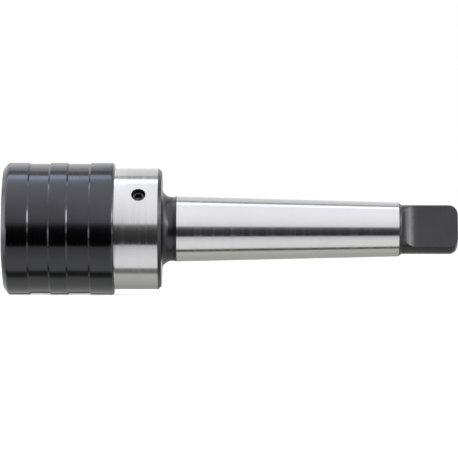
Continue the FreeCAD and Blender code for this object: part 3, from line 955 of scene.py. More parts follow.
@dataclass
class ShankBody(SubAssembly):
    """Housing, neck, Morse taper and tang in one turned piece."""

    body_r: float = 16.7
    body_front: float = -28.6
    body_rear: float = -9.0
    body_bevel: float = 0.4
    body_chamfer: float = 0.9
    bore_r: float = 14.5
    bore_end: float = -18.2
    bore_lead: float = 0.3
    shank_bore_r: float = 5.75
    shank_bore_end: float = 36.0
    neck_r: float = 8.83
    fillet_r: float = 2.8
    gauge_r: float = 8.89
    taper_slope: float = 1 / 40.04
    taper_start: float = -4.9
    taper_end: float = 56.3
    tang_r: float = 6.75
    tang_end: float = 72.55
    corner_r: float = 2.4
    flat_half: float = 3.15
    flat_start: float = 61.8
    cutter_r: float = 5.0
    roll: float = 15.0
    edge_break: float = 0.12
    centre_r: float = 1.75
    centre_edge: float = 0.05
    centre_cone: float = 1.559
    drill_r: float = 0.8
    drill_depth: float = 3.2
    drill_point: float = 3.55
    hole_step: float = 9.4
    screw_block: float = 3.0
    pad_block: float = 2.0
    screw_hole: RadialHole = field(default_factory=lambda: RadialHole(SCREW_X, SCREW_CLOCK, 1.96))
    pad_hole: RadialHole = field(default_factory=lambda: RadialHole(SCREW_X, SCREW_CLOCK, 1.55))

    def section(self) -> tuple[Outline, NDArray[np.int64]]:
        """Draw the half section from the shank bore's bottom to the start of the taper.

        Returns:
            The outline, and the finish's number at each of its points.
        """
        ground, scale, turned = range(3)
        bevel, chamfer = self.body_bevel, self.body_chamfer
        steps = SCREW_X + np.linspace(-self.screw_block, self.screw_block, 11)
        pad_steps = SCREW_X + np.linspace(self.pad_block, -self.pad_block, 9)
        corners = [
            (self.shank_bore_end, 0.0, 0.0, turned),
            (self.shank_bore_end, self.shank_bore_r, 0.05, turned),
            *((x, self.shank_bore_r, 0.0, turned) for x in pad_steps),
            (self.bore_end, self.shank_bore_r, 0.05, turned),
            (self.bore_end, self.bore_r, 0.2, turned),
            (self.body_front + self.bore_lead, self.bore_r, 0.05, turned),
            (self.body_front, self.bore_r + self.bore_lead, 0.05, turned),
            (self.body_front, self.body_r - bevel, 0.08, ground),
            (self.body_front + bevel, self.body_r, 0.12, ground),
            *((x, self.body_r, 0.0, ground) for x in steps),
            (self.body_rear - chamfer, self.body_r, 0.14, scale),
            (self.body_rear, self.body_r - chamfer, 0.14, scale),
            (self.body_rear, self.neck_r, self.fillet_r, scale),
            (self.taper_start - 1.0, self.neck_r, 0.2, scale),
            (self.taper_start, self.gauge_r - self.taper_start * self.taper_slope, 0.0, ground),
        ]
        drawn = outline([corner[:3] for corner in corners], segments=8, closed=False)
        return drawn, np.array([corner[3] for corner in corners])[drawn.zone]

    def radius(self, x: Array) -> tuple[Array, Array]:
        """Radius of the taper, its end chamfer, the tang and the tang's rounded end, and the slope of each.

        Args:
            x: places along the axis.

        Returns:
            Radii, and their change for each millimetre along the axis.
        """
        cone = self.gauge_r - x * self.taper_slope
        drop = self.gauge_r - self.taper_end * self.taper_slope - (x - self.taper_end)
        past = np.clip(x - (self.tang_end - self.corner_r), 0, self.corner_r * ALMOST)
        fall = np.sqrt(self.corner_r**2 - past**2)
        tang = self.tang_r - self.corner_r + fall
        stage = np.where(x <= self.taper_end, 0, np.where(drop > tang, 1, 2))
        slope = np.choose(stage, [0 * x - self.taper_slope, 0 * x - 1.0, -past / fall])
        return np.choose(stage, [cone, drop, tang]), slope

    def flat_level(self, x: Array) -> tuple[Array, Array]:
        """Distance of the milled flats from the axis: an arc of the cutter's radius, then the flat.

        Args:
            x: places along the axis.

        Returns:
            Distances, and their change for each millimetre along the axis.
        """
        clear = self.flat_start - x >= self.cutter_r * ALMOST
        back = np.clip(self.flat_start - x, 0, self.cutter_r * ALMOST)
        rise = np.sqrt(self.cutter_r**2 - back**2)
        return np.where(clear, FAR, self.flat_half + self.cutter_r - rise), np.where(clear, 0.0, -back / rise)

    def tang_rows(self) -> Array:
        """Place the rings of the taper and the tang, close together where the shape turns.

        Returns:
            Places along the axis.
        """
        chamfer_end = self.taper_end + self.gauge_r - self.taper_end * self.taper_slope - self.tang_r
        corner = self.tang_end - self.corner_r
        near, clear = np.array([-0.03, 0.03]), 0.12
        run_out = np.radians(np.linspace(69, 0, 24))
        return np.concatenate([
            np.linspace(self.taper_start, self.taper_end - clear, 20),
            self.taper_end + near,
            np.linspace(self.taper_end + clear, chamfer_end - 0.1, 6),
            chamfer_end + near,
            self.flat_start - self.cutter_r * np.sin(run_out),
            np.linspace(self.flat_start, corner, 6)[1:],
            corner + self.corner_r * np.sin(np.linspace(0, math.pi / 2, 13))[1:],
        ])

    def tang_grid(self) -> tuple[Array, Array, Array, NDArray[np.int64]]:
        """Work out the taper and the tang.

        Each point's distance from the axis is the smaller of the turned radius and the flat's level divided
        by the cosine of the angle from the flat's middle, and near the edge where they meet a square of
        their difference is taken off, which breaks the edge. Columns gather at that edge, and spread evenly
        at the start of the taper.

        Returns:
            Places, directions, pattern coordinates and each row's finish.
        """
        x = self.tang_rows()
        (size, slope), (level, level_slope) = self.radius(x), self.flat_level(x)
        size, slope, level, level_slope = (part[:, None] for part in (size, slope, level, level_slope))
        flat_columns, quarter, roll = 30, math.pi / 2, math.radians(self.roll)
        least_spread = math.radians(13.4)
        spread = np.maximum(least_spread, np.arccos(np.clip(level / size, 0, 1)))
        flat, rest = (
            np.sin(quarter * np.linspace(-1, 1, columns + 1))[:-1]
            for columns in (flat_columns, COLUMNS // 2 - flat_columns)
        )
        half = np.concatenate([spread * flat, quarter + (quarter - spread) * rest], 1) + roll
        gathered = np.concatenate([half, half + math.pi, half[:, :1] + FULL], 1)
        share = np.clip((x - self.taper_start) / (self.taper_end - 1 - self.taper_start), 0, 1)[:, None]
        theta = full_turn() * (1 - share) + gathered * share
        cosine = np.cos(theta - roll)
        reach = np.minimum(level / np.maximum(np.abs(cosine), TINY), FAR)
        gap, soft = size - reach, self.edge_break
        r = np.minimum(size, reach) - np.maximum(soft - np.abs(gap), 0) ** 2 / (4 * soft)
        flatness = np.clip(0.5 + gap / (2 * soft), 0, 1)[..., None]
        around = clock(theta)
        rounded = unit(around - slope[..., None] * ALONG)
        milled = unit(clock(roll) * np.sign(cosine)[..., None] - level_slope[..., None] * ALONG)
        facing = rounded * (1 - flatness) + milled * flatness
        pattern = np.stack([theta * self.gauge_r, x[:, None] + 0 * theta], 2)
        return sweep(x[:, None], r, around), facing, pattern, np.where(x[:-1] < self.taper_end - 0.05, 0, 1)

    def end_face(self, skin: Skin, rim: Array) -> None:
        """Close the tang's end with a flat face and a lathe centre hole.

        Rings run from the tang's outline to the countersink's circle, then down its cone, the small bore
        and the drill's point.

        Args:
            skin: the quilt to add to.
            rim: the last ring of the tang's grid.
        """
        scale, end, drill_r = 1, self.tang_end, self.drill_r
        reach = np.hypot(rim[:, 1], rim[:, 2])
        around = rim * [0, 1, 1] / reach[:, None]
        flat_ring(skin, end, around, reach, self.centre_r, 6, 1.0, scale)
        hole = outline([
            (end, self.centre_r, 0.0), (end, self.centre_r - self.centre_edge, 0.05),
            (end - self.centre_cone, drill_r, 0.05), (end - self.drill_depth, drill_r, 0.02),
            (end - self.drill_point, 0.0, 0.0),
        ], closed=False)
        x, r, nx, nr = hole.columns()
        skin.add_grid(sweep(x, r, around), sweep(nx, nr, around), finish=scale)

    def build(self) -> None:
        """Make the shank body."""
        ground, scale, turned = range(3)
        skin = Skin()
        section, finish = self.section()
        wall = Wall(section, full_turn())
        step, screw, pad = self.hole_step, self.screw_hole, self.pad_hole
        angle, start = screw.patch(skin, wall, self.body_r, self.screw_block, 0.03, False, ground)
        screw.bore(skin, angle, start, step, scale, Thread(0.33, 22.5))
        pad_angle, pad_start = pad.patch(skin, wall, self.shank_bore_r, self.pad_block, 0.05, True, turned)
        pad.bore(skin, pad_angle, pad_start, step, turned)
        screw.step(skin, (angle, screw.radius, step), (pad_angle, pad.radius, step), scale)
        wall.add(skin, finish[:-1])
        place, facing, pattern, finish = self.tang_grid()
        skin.add_grid(place, facing, pattern, finish)
        self.end_face(skin, place[-1])
        looks = (Finish.GROUND, Finish.SCALE, Finish.TURNED)
        self.dress(skin, looks, "shank_skin", "shank", "ground_steel", "shank_body")


@dataclass
class Spindle(SubAssembly):
    """The floating spindle: nose with drive slots, adapter bore, ball holes, collar and guiding tail."""

    front: float = -52.9
    nose_r: float = 13.2
    nose_bevel: float = 0.4
    circlip_groove: tuple[float, float] = (-52.1, -50.89)
    circlip_depth: float = 0.6
    collar_front: float = -30.0
    collar_rear: float = -22.4
    collar_r: float = 14.45
    seal_groove: tuple[float, float] = (-24.65, -23.35)
    seal_r: float = 13.2
    bore_r: float = 9.5
    bore_end: float = -33.2
    rear_bore_r: float = 5.71
    relief_r: float = 10.0
    relief_half: float = 3.0
    chamfer: float = 0.8
    slot_half: float = 3.0
    slot_reach: float = 11.4
    slot_depth: float = 4.5
    block: float = 2.9
    ball_hole_r: float = 2.56
    lip_r: float = 2.36
    seat_level: float = 11.003
    hole_level: float = 11.103
    tail_r: float = 5.7
    tail_bore_r: float = 4.1
    tail_end: float = 12.0
    web_front: float = 9.0
    web_bore_r: float = 2.2

    def columns(self) -> Array:
        """Spread the columns so that they meet the corners of both drive slots.

        Returns:
            Angles once round, the last being the first again.
        """
        inner = math.atan2(self.slot_half, self.slot_reach)
        outer = math.asin(self.slot_half / self.bore_r)
        turns = (outer, math.pi - outer, math.pi - inner, math.pi + inner, math.pi + outer)
        spans = zip(turns[:-1], turns[1:], (72, 4, 16, 4))
        half = np.concatenate([np.linspace(start, end, faces + 1)[:-1] for start, end, faces in spans])
        return np.concatenate([half, half + math.pi, half[:1] + FULL])

    def section(self) -> Outline:
        """Draw the half section from the nose's outer edge round to the bottom of the drive slots.

        Returns:
            The outline.
        """
        steps = BALL_X + np.linspace(-self.block, self.block, 9)
        relief_front, relief_rear = BALL_X - self.relief_half, BALL_X + self.relief_half
        return outline([
            (self.front, self.nose_r - self.nose_bevel, 0.06),
            (self.front + self.nose_bevel, self.nose_r, 0.06),
            *groove(*self.circlip_groove, self.nose_r, self.nose_r - self.circlip_depth, 0.03, 0.03),
            *((x, self.nose_r, 0.0) for x in steps),
            (self.collar_front, self.nose_r, 0.1), (self.collar_front, self.collar_r, 0.06),
            *groove(*self.seal_groove, self.collar_r, self.seal_r, 0.04, 0.05),
            (self.collar_rear, self.collar_r, 0.1), (self.collar_rear, self.rear_bore_r, 0.04),
            (self.bore_end, self.rear_bore_r, 0.02), (self.bore_end, self.bore_r, 0.15),
            (relief_rear, self.bore_r, 0.04), (relief_rear, self.relief_r, 0.08),
            *((x, self.relief_r, 0.0) for x in steps[::-1]),
            (relief_front, self.relief_r, 0.08), (relief_front, self.bore_r, 0.04),
            (self.front + self.slot_depth, self.bore_r, 0.0),
        ], closed=False)

    def slot_r(self, theta: Array) -> Array:
        """Distance of a drive slot's wall from the axis.

        It is the slot's reach over the cosine of the angle from its middle, or half its width over the sine,
        whichever is less.

        Args:
            theta: angles round the axis.

        Returns:
            Distances.
        """
        cosine, sine = (np.maximum(np.abs(part), TINY) for part in (np.cos(theta), np.sin(theta)))
        return np.minimum(self.slot_reach / cosine, self.slot_half / sine)

    def mouth(self, skin: Skin, theta: Array) -> None:
        """Add the bore's mouth with its drive slots, and the nose's front face.

        The wall stands at the larger of the bore's own radius and the slot's.

        Args:
            skin: the quilt to add to.
            theta: angles of the columns.
        """
        lip = self.front + self.chamfer
        floor_x = self.front + self.slot_depth
        x = np.concatenate([np.linspace(self.front, lip, 6), np.linspace(lip, floor_x, 6)[1:]])[:, None]
        bore = self.bore_r + np.clip(lip - x, 0, None)
        r = np.maximum(bore, self.slot_r(theta))
        around = clock(theta)
        middle = (theta[:-1] + theta[1:]) / 2
        cosine, sine = np.cos(middle), np.sin(middle)
        bottom = np.abs(np.arcsin(sine)) < math.atan2(self.slot_half, self.slot_reach)
        slot_way = np.stack([0 * middle, np.sign(cosine) * bottom, -np.sign(sine) * ~bottom], 1)
        in_slot = self.slot_r(middle) > (bore[:-1] + bore[1:]) / 2
        bore_way = -clock(middle) - (x[1:] <= lip + TINY)[..., None] * ALONG
        skin.add_grid(sweep(x, r, around), np.where(in_slot[..., None], slot_way, bore_way))
        flat_ring(skin, floor_x, around, r[-1], self.bore_r, 2, -1.0)
        flat_ring(skin, self.front, around, r[0], self.nose_r - self.nose_bevel, 5, -1.0)

    def ball_seat(self, skin: Skin, degrees: float, angle: Array, start: Array) -> None:
        """Carry the hole from its lip in the bore to its full width, along the round seat.

        Args:
            skin: the quilt to add to.
            degrees: clock angle of the hole.
            angle: angle of each column of the lip.
            start: depth of the lip at each column.
        """
        tilt = np.linspace(math.asin(self.lip_r / self.ball_hole_r), math.pi / 2, 7)[:, None]
        across, up = np.sin(tilt), np.cos(tilt)
        depth = self.seat_level - self.ball_hole_r * up + 0 * angle
        depth[0] = start
        Seat.radial(BALL_X, degrees).rings(skin, angle, self.ball_hole_r * across, depth, -across, up)

    def build(self) -> None:
        """Make the spindle and its tail."""
        skin = Skin()
        wall = Wall(self.section(), self.columns())
        wide, block = self.ball_hole_r, self.block
        for degrees in BALL_CLOCKS:
            outer, inner = (RadialHole(BALL_X, degrees, size) for size in (wide, self.lip_r))
            angle, start = outer.patch(skin, wall, self.nose_r, block, 0.08)
            outer.bore(skin, angle, start, self.hole_level)
            inner_angle, inner_start = inner.patch(skin, wall, self.relief_r, block, 0.03, True)
            outer.step(skin, (angle, wide, self.hole_level), (inner_angle, wide, self.seat_level))
            self.ball_seat(skin, degrees, inner_angle, inner_start)
        wall.add(skin, 0)
        self.mouth(skin, wall.theta)
        self.dress(skin, (Finish.TURNED,), "spindle_skin", "spindle", "hardened_steel", "spindle")
        tube = [
            (self.bore_end, self.tail_r, 0.05), (self.tail_end, self.tail_r, 0.08),
            (self.tail_end, self.web_bore_r, 0.05), (self.web_front, self.web_bore_r, 0.05),
            (self.web_front, self.tail_bore_r, 0.15), (self.bore_end, self.tail_bore_r, 0.1),
        ]
        self.dress_ring(tube, Finish.TURNED, "tail_tube", "spindle", "hardened_steel", "spindle_tail")


@dataclass
class BallLock(SubAssembly):
    """Three hardened balls that lock the adapter."""

    radius: float = 2.5
    centre_r: float = 11.0028

    def build(self) -> None:
        """Make the balls: each is a half circle carried round a line through its middle."""
        arc = np.linspace(math.pi, 0, 33)
        cos, sin = np.cos(arc), np.sin(arc)
        section = Outline(self.radius * cos, self.radius * sin, cos, sin, np.zeros(33, np.int64))
        for number, degrees in enumerate(BALL_CLOCKS, 1):
            centre = clock(math.radians(degrees)) * self.centre_r + BALL_X * ALONG
            skin = Skin()
            skin.add_grid(*turned_grid(section, full_turn(64), centre, closed=False))
            ball = f"ball_{number}"
            self.dress(skin, (Finish.BALL,), f"{ball}_skin", ball, "ball_steel", f"locking_{ball}")


@dataclass
class CoilSpring(SubAssembly):
    """A coil spring of round wire with closed ends, ground flat.

    The wire's middle climbs a helix whose rise eases in and out over its dead end turns, its section is a
    circle square to the helix's radius, and what would stand past the end planes is ground off.
    """

    name: str
    node: str
    body: str
    start: float
    end: float
    mean_r: float
    wire: float
    turns: float
    joint: str
    anchor: float
    travel: float
    dead_turns: float = 0.8
    end_climb: float = 0.6
    ground_off: float = 0.45

    def build(self) -> bpy.types.Object:
        """Make the spring, and give it a mesh of its own.

        Returns:
            The piece.
        """
        share = np.linspace(0, 1, int(self.turns * 40) + 1)
        angle = FULL * self.turns * share
        dead, half = self.dead_turns / self.turns, self.wire / 2
        live = np.clip((share - dead) / (1 - 2 * dead), 0, 1)
        first, last = np.clip(share / dead, 0, 1), np.clip((share - 1 + dead) / dead, 0, 1)
        inset, climb = half * (1 - self.ground_off), self.end_climb * self.wire
        rise = self.end - self.start - 2 * inset - 2 * climb
        middle = self.start + inset + rise * live + climb * (first + last)
        ring = full_turn(20)
        x = middle[:, None] + half * np.sin(ring)
        around = clock(angle)[:, None, :]
        place = sweep(np.clip(x, self.start, self.end), self.mean_r + half * np.cos(ring) + 0 * x, around)
        chart = np.stack([ring * half + 0 * x, (angle * self.mean_r)[:, None] + 0 * x], 2)
        skin = Skin()
        skin.add_grid(place, sweep(np.sin(ring), np.cos(ring), around), chart)
        for end, sign in ((0, -1.0), (-1, 1.0)):
            tangent = np.array([0.0, math.sin(angle[end]), math.cos(angle[end])]) * sign
            hub = place[end].mean(0)
            cap = hub + (place[end] - hub) * np.array([1.0, 0.0])[:, None, None]
            skin.add_grid(cap, np.broadcast_to(tangent, cap.shape))
        piece = self.dress(skin, (Finish.WIRE,), self.name, self.body, "spring_steel", self.node)
        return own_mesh(piece)


@dataclass
class TieBolt(SubAssembly):
    """The long socket-head bolt in the shank, with its washer and the springs' seat."""

    head_front: float = -16.0
    head_rear: float = -12.0
    head_r: float = 3.5
    head_bevel: float = 0.35
    shank_r: float = 2.0
    point: float = 0.3
    end: float = 45.0
    washer: tuple[float, ...] = (-12.0, -11.2, 2.05, 3.8)
    seat: tuple[float, ...] = (35.0, 36.0, 2.05, 5.7)
    socket: HexSocket = field(default_factory=lambda: HexSocket(3.0, 2.0))

    def build(self) -> None:
        """Make the bolt, the washer and the seat."""
        skin = Skin()
        seat = Seat.to_nose(self.head_front)
        end, rear = self.head_front - self.end, self.head_front - self.head_rear
        seat.turned(skin, [
            (end, 0.0, 0.0), (end, self.shank_r - self.point, 0.05), (end + self.point, self.shank_r, 0.05),
            (rear, self.shank_r, 0.15), (rear, self.head_r, 0.1),
            (-self.head_bevel, self.head_r, 0.12), (0.0, self.head_r - self.head_bevel, 0.0),
        ])
        self.socket.cut(skin, seat, 0.0, self.head_r - self.head_bevel)
        self.dress(skin, (Finish.FASTENER,), "tie_bolt_skin", "shank", "fastener_steel", "tie_bolt")
        for node, size in (("tie_washer", self.washer), ("spring_seat", self.seat)):
            ring, name = square_ring(*size, 0.1, 0.05), f"{node}_skin"
            self.dress_ring(ring, Finish.TURNED, name, "shank", "hardened_steel", node, SMALL_COLUMNS)


@dataclass
class BrakeAdjuster(SubAssembly):
    """The small radial screw in the housing and its brass pad."""

    top_r: float = 15.5
    end_r: float = 10.3
    screw_r: float = 1.92
    bevel: float = 0.3
    cup_r: float = 1.2
    foot_r: float = 1.7
    pad_foot: float = 6.0
    pad_r: float = 1.5
    thread: Thread = field(default_factory=lambda: Thread(0.35, 18.0))
    socket: HexSocket = field(default_factory=lambda: HexSocket(2.0, 1.8, 0.06))

    def build(self) -> None:
        """Make the screw, with its thread's wave cut into its side, and the pad."""
        skin = Skin()
        seat = Seat.radial(SCREW_X, SCREW_CLOCK)
        top, end, bevel, mouth_r = self.top_r, self.end_r, self.bevel, self.screw_r - self.bevel
        angle, share = full_turn(SMALL_COLUMNS), np.linspace(0, 1, 100)[:, None]
        depth = end + bevel + (top - end - 2 * bevel) * share
        cut, lean = self.thread.wave(angle, depth, share)
        seat.rings(skin, angle, self.screw_r - cut, depth, 1.0, -lean)
        seat.turned(skin, [(top - bevel, self.screw_r, 0.0), (top, mouth_r, 0.0)])
        seat.turned(skin, [
            (end + self.cup_r, 0.0, 0.0), (end, self.cup_r, 0.05), (end, self.foot_r, 0.05),
            (end + bevel, self.screw_r, 0.0),
        ])
        self.socket.cut(skin, seat, top, mouth_r)
        node = "adjusting_screw"
        self.dress(skin, (Finish.FASTENER,), f"{node}_skin", "screw", "fastener_steel", node)
        pad = Skin()
        foot, pad_r = self.pad_foot, self.pad_r
        seat.turned(pad, [(foot, 0.0, 0.0), (foot, pad_r, 0.1), (end, pad_r, 0.1), (end, 0.0, 0.0)], 64)
        self.dress(pad, (Finish.BRASS,), "brake_pad_skin", "pad", "pad_brass", "brake_pad")


@dataclass
class CarriedNodes(SubAssembly):
    """CAD nodes whose own shape is shown, with the finish of each."""

    finish_of: dict[str, Finish] = field(default_factory=lambda: {
        "thrust_washer": Finish.TURNED,
        "sleeve_circlip": Finish.FASTENER,
        "drive_pin_1": Finish.TURNED,
        "drive_pin_2": Finish.TURNED,
        "drive_pin_3": Finish.TURNED,
        "spindle_seal_ring": Finish.RUBBER,
    })

    def build(self) -> None:
        """Give each node its material."""
        for name, finish in self.finish_of.items():
            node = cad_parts[name]
            node.data.materials.clear()
            for material in self.finishes.of(finish):
                node.data.materials.append(material)
            log.info("%s keeps its CAD shape, in %s", name, finish.value.name)


# Studio


@dataclass(frozen=True)
class Rail:
    """One straight line of a glowing screen: its two ends, in metres, how bright it is and its tint."""

    start: Point
    end: Point
    glow: float
    tint: str = WHITE

    @classmethod
    def overhead(cls, start: float, end: float, degrees: float, glow: float, tint: str) -> "Rail":
        """A line along X, 0.8 m from the axis, at an angle from the lens up and over."""
        y, z = -0.8 * math.cos(math.radians(degrees)), 0.8 * math.sin(math.radians(degrees))
        return cls((start, y, z), (end, y, z), glow, tint)


@dataclass
class Studio:
    """White floor and surround, and screens whose brightness is read off the steel in the photograph.

    Overhead it is even from a little over the lens's height to straight above, then comes a brighter strip,
    and a narrow gap before the white surround. Round the lens it is dark, down to where the floor strips
    start, whose glow holds painted floor light and painted shadow. Two lights stand at the sides, which only
    slanted faces show, and strips on the floor beside them glow as a painted pool of their light. Rows of the
    overhead table are the angle, the brightness over the shank and over the sleeve, and the tint. The numbers
    for the floor and the surround are what the lens sees and what a reflection shows.
    """

    floor_z: float = -0.01822
    card_z: float = -0.0180
    fill_strength: float = 0.5
    floor_shine: tuple[float, float] = (0.6, 0.22)
    parting: float = -0.05
    overhead: tuple[tuple[float, float, float, str], ...] = (
        (2.0, 0.1, 0.04, COOL), (6.5, 0.24, 0.26, COOL), (10.5, 1.1, 0.56, COOL), (20.0, 1.18, 0.76, COOL),
        (40.0, 1.3, 0.98, COOL), (56.0, 1.36, 1.2, COOL), (86.0, 1.38, 1.6, "#fbfbff"),
        (96.0, 1.42, 2.5, "#eff4ff"), (98.0, 2.6, 4.0, BLUISH), (106.0, 2.6, 4.0, BLUISH),
        (108.0, 1.0, 1.0, COOL), (111.0, 0.46, 0.7, WHITE), (120.0, 0.46, 0.7, WHITE),
        (121.5, 0.92, 1.5, WHITE), (150.0, 0.92, 1.6, WHITE),
    )

    def dark_screens(self) -> dict[str, tuple[Rail, ...]]:
        """The dark screens round the lens.

        Returns:
            Their lines by name. A row of the table is Y, Z, the X where the two screens meet, how far they
            reach, and the brightness of the one before the sleeve and of the one before the shank.
        """
        z = self.card_z
        rows = (
            (-0.8, 0.07, -0.05, 0.5, 0.05, 0.2), (-0.8, 0.0, -0.05, 0.5, 0.04, 0.14),
            (-0.8, z, -0.05, 0.5, 0.035, 0.11), (-0.1, z, -0.025, 0.13, 0.02, 0.055),
            (-0.039, z, -0.0225, 0.09, 0.008, 0.03),
        )
        sleeve, shank = [], []
        for y, up, near, far, low, high in rows:
            sleeve.append(Rail((-far, y, up), (near, y, up), low))
            shank.append(Rail((near, y, up), (far, y, up), high))
        return {"screen_before_sleeve": tuple(sleeve), "screen_before_shank": tuple(shank)}

    def painted_floor_screens(self) -> dict[str, tuple[Rail, ...]]:
        """Glowing strips on the floor, seen only in reflections, under the sleeve, the body and the shank.
        Their glow is painted floor light and painted shadow: brighter near the head, a dark painted
        contact-shadow line, and painted shade beneath.

        Returns:
            Their lines by name.
        """
        z = self.card_z

        def strip(start: float, end: float, tint: str, *lines: tuple[float, float]) -> tuple[Rail, ...]:
            """Lines from one X to another, each with its Y and brightness."""
            return tuple(Rail((start, y, z), (end, y, z), glow, tint) for y, glow in lines)

        sleeve, body, shank = (-0.09, -0.0219), (-0.0219, -0.007), (-0.007, 0.09)
        # Painted floor light and painted shadow: each strip's glow is listed by Y, with the dark
        # contact-shadow line and the shade under the head painted in.
        screens = {
            "painted_shade_floor_by_sleeve": strip(
                *sleeve, WHITE, (-0.039, 0.45), (-0.03, 0.56), (-0.02, 0.78), (-0.0157, 0.78),
                (-0.0144, 0.14), (-0.0126, 0.14),
            ),
            "painted_shadow_under_sleeve": strip(
                *sleeve, PAINTED_SHADE_TINT, (-0.0126, 0.14), (-0.0112, 0.72), (-0.006, 0.78), (-0.0035, 0.78)
            ),
            "painted_shade_floor_by_body": strip(
                *body, WHITE, (-0.039, 0.66), (-0.03, 0.86), (-0.02, 1.02), (-0.0146, 1.02),
                (-0.0134, 0.22), (-0.0115, 0.22),
            ),
            "painted_shadow_under_body": strip(
                *body, PAINTED_SHADE_TINT, (-0.0115, 0.22), (-0.0102, 0.7), (-0.006, 0.58), (-0.002, 0.42), (0.02, 0.38)
            ),
            "painted_light_floor_by_shank": strip(
                *shank, WHITE, (-0.039, 0.66), (-0.03, 0.86), (-0.02, 1.06), (-0.0116, 1.06)
            ),
        }
        # The painted shadow line under the shank runs a little askew, to follow the taper.
        screens["floor_line"] = tuple(
            Rail((shank[0], y - 0.0008, z), (shank[1], y + 0.0006, z), glow, PAINTED_SHADE_TINT) for y, glow in (
                (-0.0116, 1.06), (-0.0094, 1.06), (-0.0086, 0.12), (-0.0060, 0.12), (-0.0052, 0.74),
                (0.004, 0.58), (0.06, 0.38),
            )
        )
        return screens

    def side_screens(self) -> dict[str, tuple[Rail, ...]]:
        """The upright lights at both sides, and strips on the floor beside them that glow as a painted pool
        of light.

        Returns:
            Their lines by name. Rows of the upright ones are X, Y and the brightness.
        """
        z = self.card_z
        left = ((-0.8, 0.5, 1.0), (-0.8, 0.28, 2.2), (-0.8, 0.1, 3.3), (-0.8, 0.02, 1.1), (-0.8, -0.6, 0.7))
        right = (
            (0.8, 0.5, 2.8), (0.8, 0.2, 3.4), (0.8, -0.05, 4.0), (0.8, -0.3, 6.0), (0.8, -0.6, 6.6),
            (0.62, -0.7, 3.2), (0.4, -0.78, 1.3),
        )
        screens = {}
        for name, low, posts in (("screen_left", z, left), ("screen_right", 0.15, right)):
            screens[name] = tuple(Rail((x, y, low), (x, y, 0.42), glow) for x, y, glow in posts)
        # Painted light: these floor strips glow brighter than the floor and stand for the floor lit beside
        # the lights.
        for name, side in (("painted_light_floor_left", -1), ("painted_light_floor_right", 1)):
            ends = ((side * 0.2, -0.14, 0.06, 1.8), (side * 0.8, -0.6, 0.3, 2.4))
            screens[name] = tuple(Rail((x, front, z), (x, back, z), glow) for x, front, back, glow in ends)
        return screens

    def screen(self, name: str, rails: tuple[Rail, ...]) -> bpy.types.Object:
        """Make a screen that runs from rail to rail and shows the colour and brightness of each.

        Args:
            name: the screen's name.
            rails: its lines, in order.

        Returns:
            The new piece, unseen by the camera.
        """
        place = [spot for rail in rails for spot in (rail.start, rail.end)]
        low = 2 * np.arange(len(rails) - 1)[:, None]
        mesh = bpy.data.meshes.new(name)
        mesh.from_pydata(place, [], (low + [0, 1, 3, 2]).tolist())
        shine = np.array([np.array(linear(rail.tint)) * [*[rail.glow] * 3, 1] for rail in rails])
        layer = mesh.color_attributes.new("glow", "FLOAT_COLOR", "POINT")
        layer.data.foreach_set("color", np.repeat(shine, 2, 0).astype(np.float32).ravel())
        material, tree = blank(name)
        glow = add_node(tree, "Emission", {"Color": add_node(tree, "Attribute", {}, attribute_name="glow")})
        add_node(tree, "OutputMaterial", {"Surface": glow})
        mesh.materials.append(material)
        card = link_object(name, mesh)
        card.visible_camera = False
        return card

    def seen(self, tree: bpy.types.NodeTree, camera: float, mirrored: float) -> bpy.types.NodeSocket:
        """A number that depends on what looks. It is nothing for light that falls on a surface.

        Args:
            tree: the node tree.
            camera: the number for the lens and through glass.
            mirrored: the number for a reflection.

        Returns:
            The output that holds it.
        """
        lens, glass, mirror = (
            add_node(tree, "LightPath", {}, ray)
            for ray in ("Is Camera Ray", "Is Transmission Ray", "Is Glossy Ray")
        )
        direct = add_node(tree, "Math", {0: lens, 1: glass}, operation="MAXIMUM")
        direct = add_node(tree, "Math", {0: direct, 1: camera}, operation="MULTIPLY")
        return add_node(tree, "Math", {0: mirror, 1: mirrored, 2: direct}, operation="MULTIPLY_ADD")

    def floor(self) -> None:
        """Matt white floor that keeps a shadow, and looks white to the camera."""
        material, tree = blank("matt_white_floor")
        shine = add_node(tree, "Emission", {"Strength": self.seen(tree, *self.floor_shine)})
        matt = add_node(tree, "BsdfDiffuse", {"Color": linear("#eeeeee")})
        add_node(tree, "OutputMaterial", {"Surface": add_node(tree, "AddShader", {0: matt, 1: shine})})
        mesh = bpy.data.meshes.new("floor")
        z = self.floor_z
        mesh.from_pydata([(-4, -3, z), (4, -3, z), (4, 3, z), (-4, 3, z)], [], [(0, 1, 2, 3)])
        mesh.materials.append(material)
        plane = link_object("floor", mesh)

    def world(self) -> None:
        """White to the camera, to reflections and through glass, and a plain fill for matt surfaces."""
        world = bpy.data.worlds.new("white_surround")
        bpy.context.scene.world = world
        world.use_nodes = True
        tree = world.node_tree
        tree.nodes.clear()
        fill = self.fill_strength
        strength = add_node(tree, "Math", {0: self.seen(tree, 1 - fill, 1 - fill), 1: fill}, operation="ADD")
        back = add_node(tree, "Background", {"Color": linear(WHITE), "Strength": strength})
        add_node(tree, "OutputWorld", {"Surface": back})

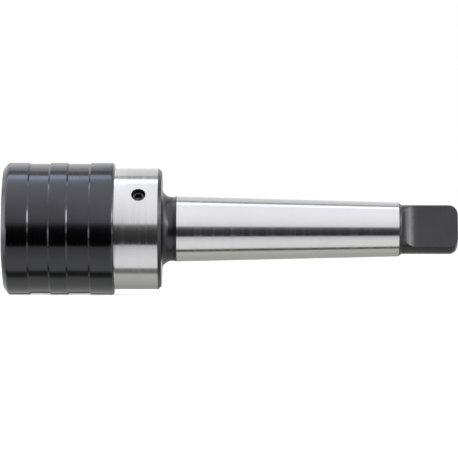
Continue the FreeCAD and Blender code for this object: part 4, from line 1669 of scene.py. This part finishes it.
    def build(self) -> None:
        """Make the floor, the surround and the screens."""
        self.floor()
        self.world()
        spans = (("screen_over_sleeve", -1.2, self.parting, 2), ("screen_over_shank", self.parting, 1.2, 1))
        for name, start, end, column in spans:
            rails = (Rail.overhead(start, end, row[0], row[column], row[3]) for row in self.overhead)
            self.screen(name, tuple(rails))
        for name, rails in (self.dark_screens() | self.painted_floor_screens() | self.side_screens()).items():
            card = self.screen(name, rails)
            card.visible_diffuse = False
            card.visible_shadow = False
        bpy.context.scene.view_settings.view_transform = "Standard"


@dataclass
class Camera:
    """The photograph's viewpoint: level with the axis, square to it, a little to the right of its middle."""

    place: Point = (0.0145, -1.10, 0.00002)
    target: Point = (0.0095, 0.0, 0.00002)
    width_mm: float = 126.45
    sensor_mm: float = 36.0
    roll: float = 0.13

    def build(self) -> None:
        """Make the camera and set it."""
        lens = bpy.data.cameras.new("camera")
        lens.sensor_width = self.sensor_mm
        lens.lens = self.sensor_mm * -self.place[1] / (self.width_mm * MM)
        lens.clip_start, lens.clip_end = 0.05, 20.0
        camera = link_object("camera", lens)
        camera.location = self.place
        aim = Vector(self.target) - Vector(self.place)
        camera.rotation_mode = "QUATERNION"
        turn = Quaternion((0, 0, 1), math.radians(self.roll))
        camera.rotation_quaternion = aim.to_track_quat("-Z", "Y") @ turn
        bpy.context.scene.camera = camera


def main() -> None:
    """Build the studio and the head, in order."""
    logging.basicConfig(level=logging.INFO, format="%(name)s: %(message)s")
    Camera().build()
    Studio().build()
    finishes = Finishes()
    for kind in (ShankBody, LockingSleeve, Spindle, BallLock, TieBolt, BrakeAdjuster, CarriedNodes):
        kind(finishes).build()
    for name, body, *sizes in (
        ("sleeve", "spindle", -38.6, -30.0, 13.85, 1.0, 4.0, "sleeve_slide", -30.0, 3.5),
        ("tension", "shank", -11.2, 9.0, 3.05, 1.0, 12.0, "float_slide", -11.2, 4.05),
        ("compression", "shank", 12.0, 35.0, 4.7, 1.3, 10.0, "float_slide", 35.0, 4.0),
    ):
        CoilSpring(finishes, f"{name}_coil", f"{name}_spring", body, *sizes).build()


if __name__ == "__main__":
    main()
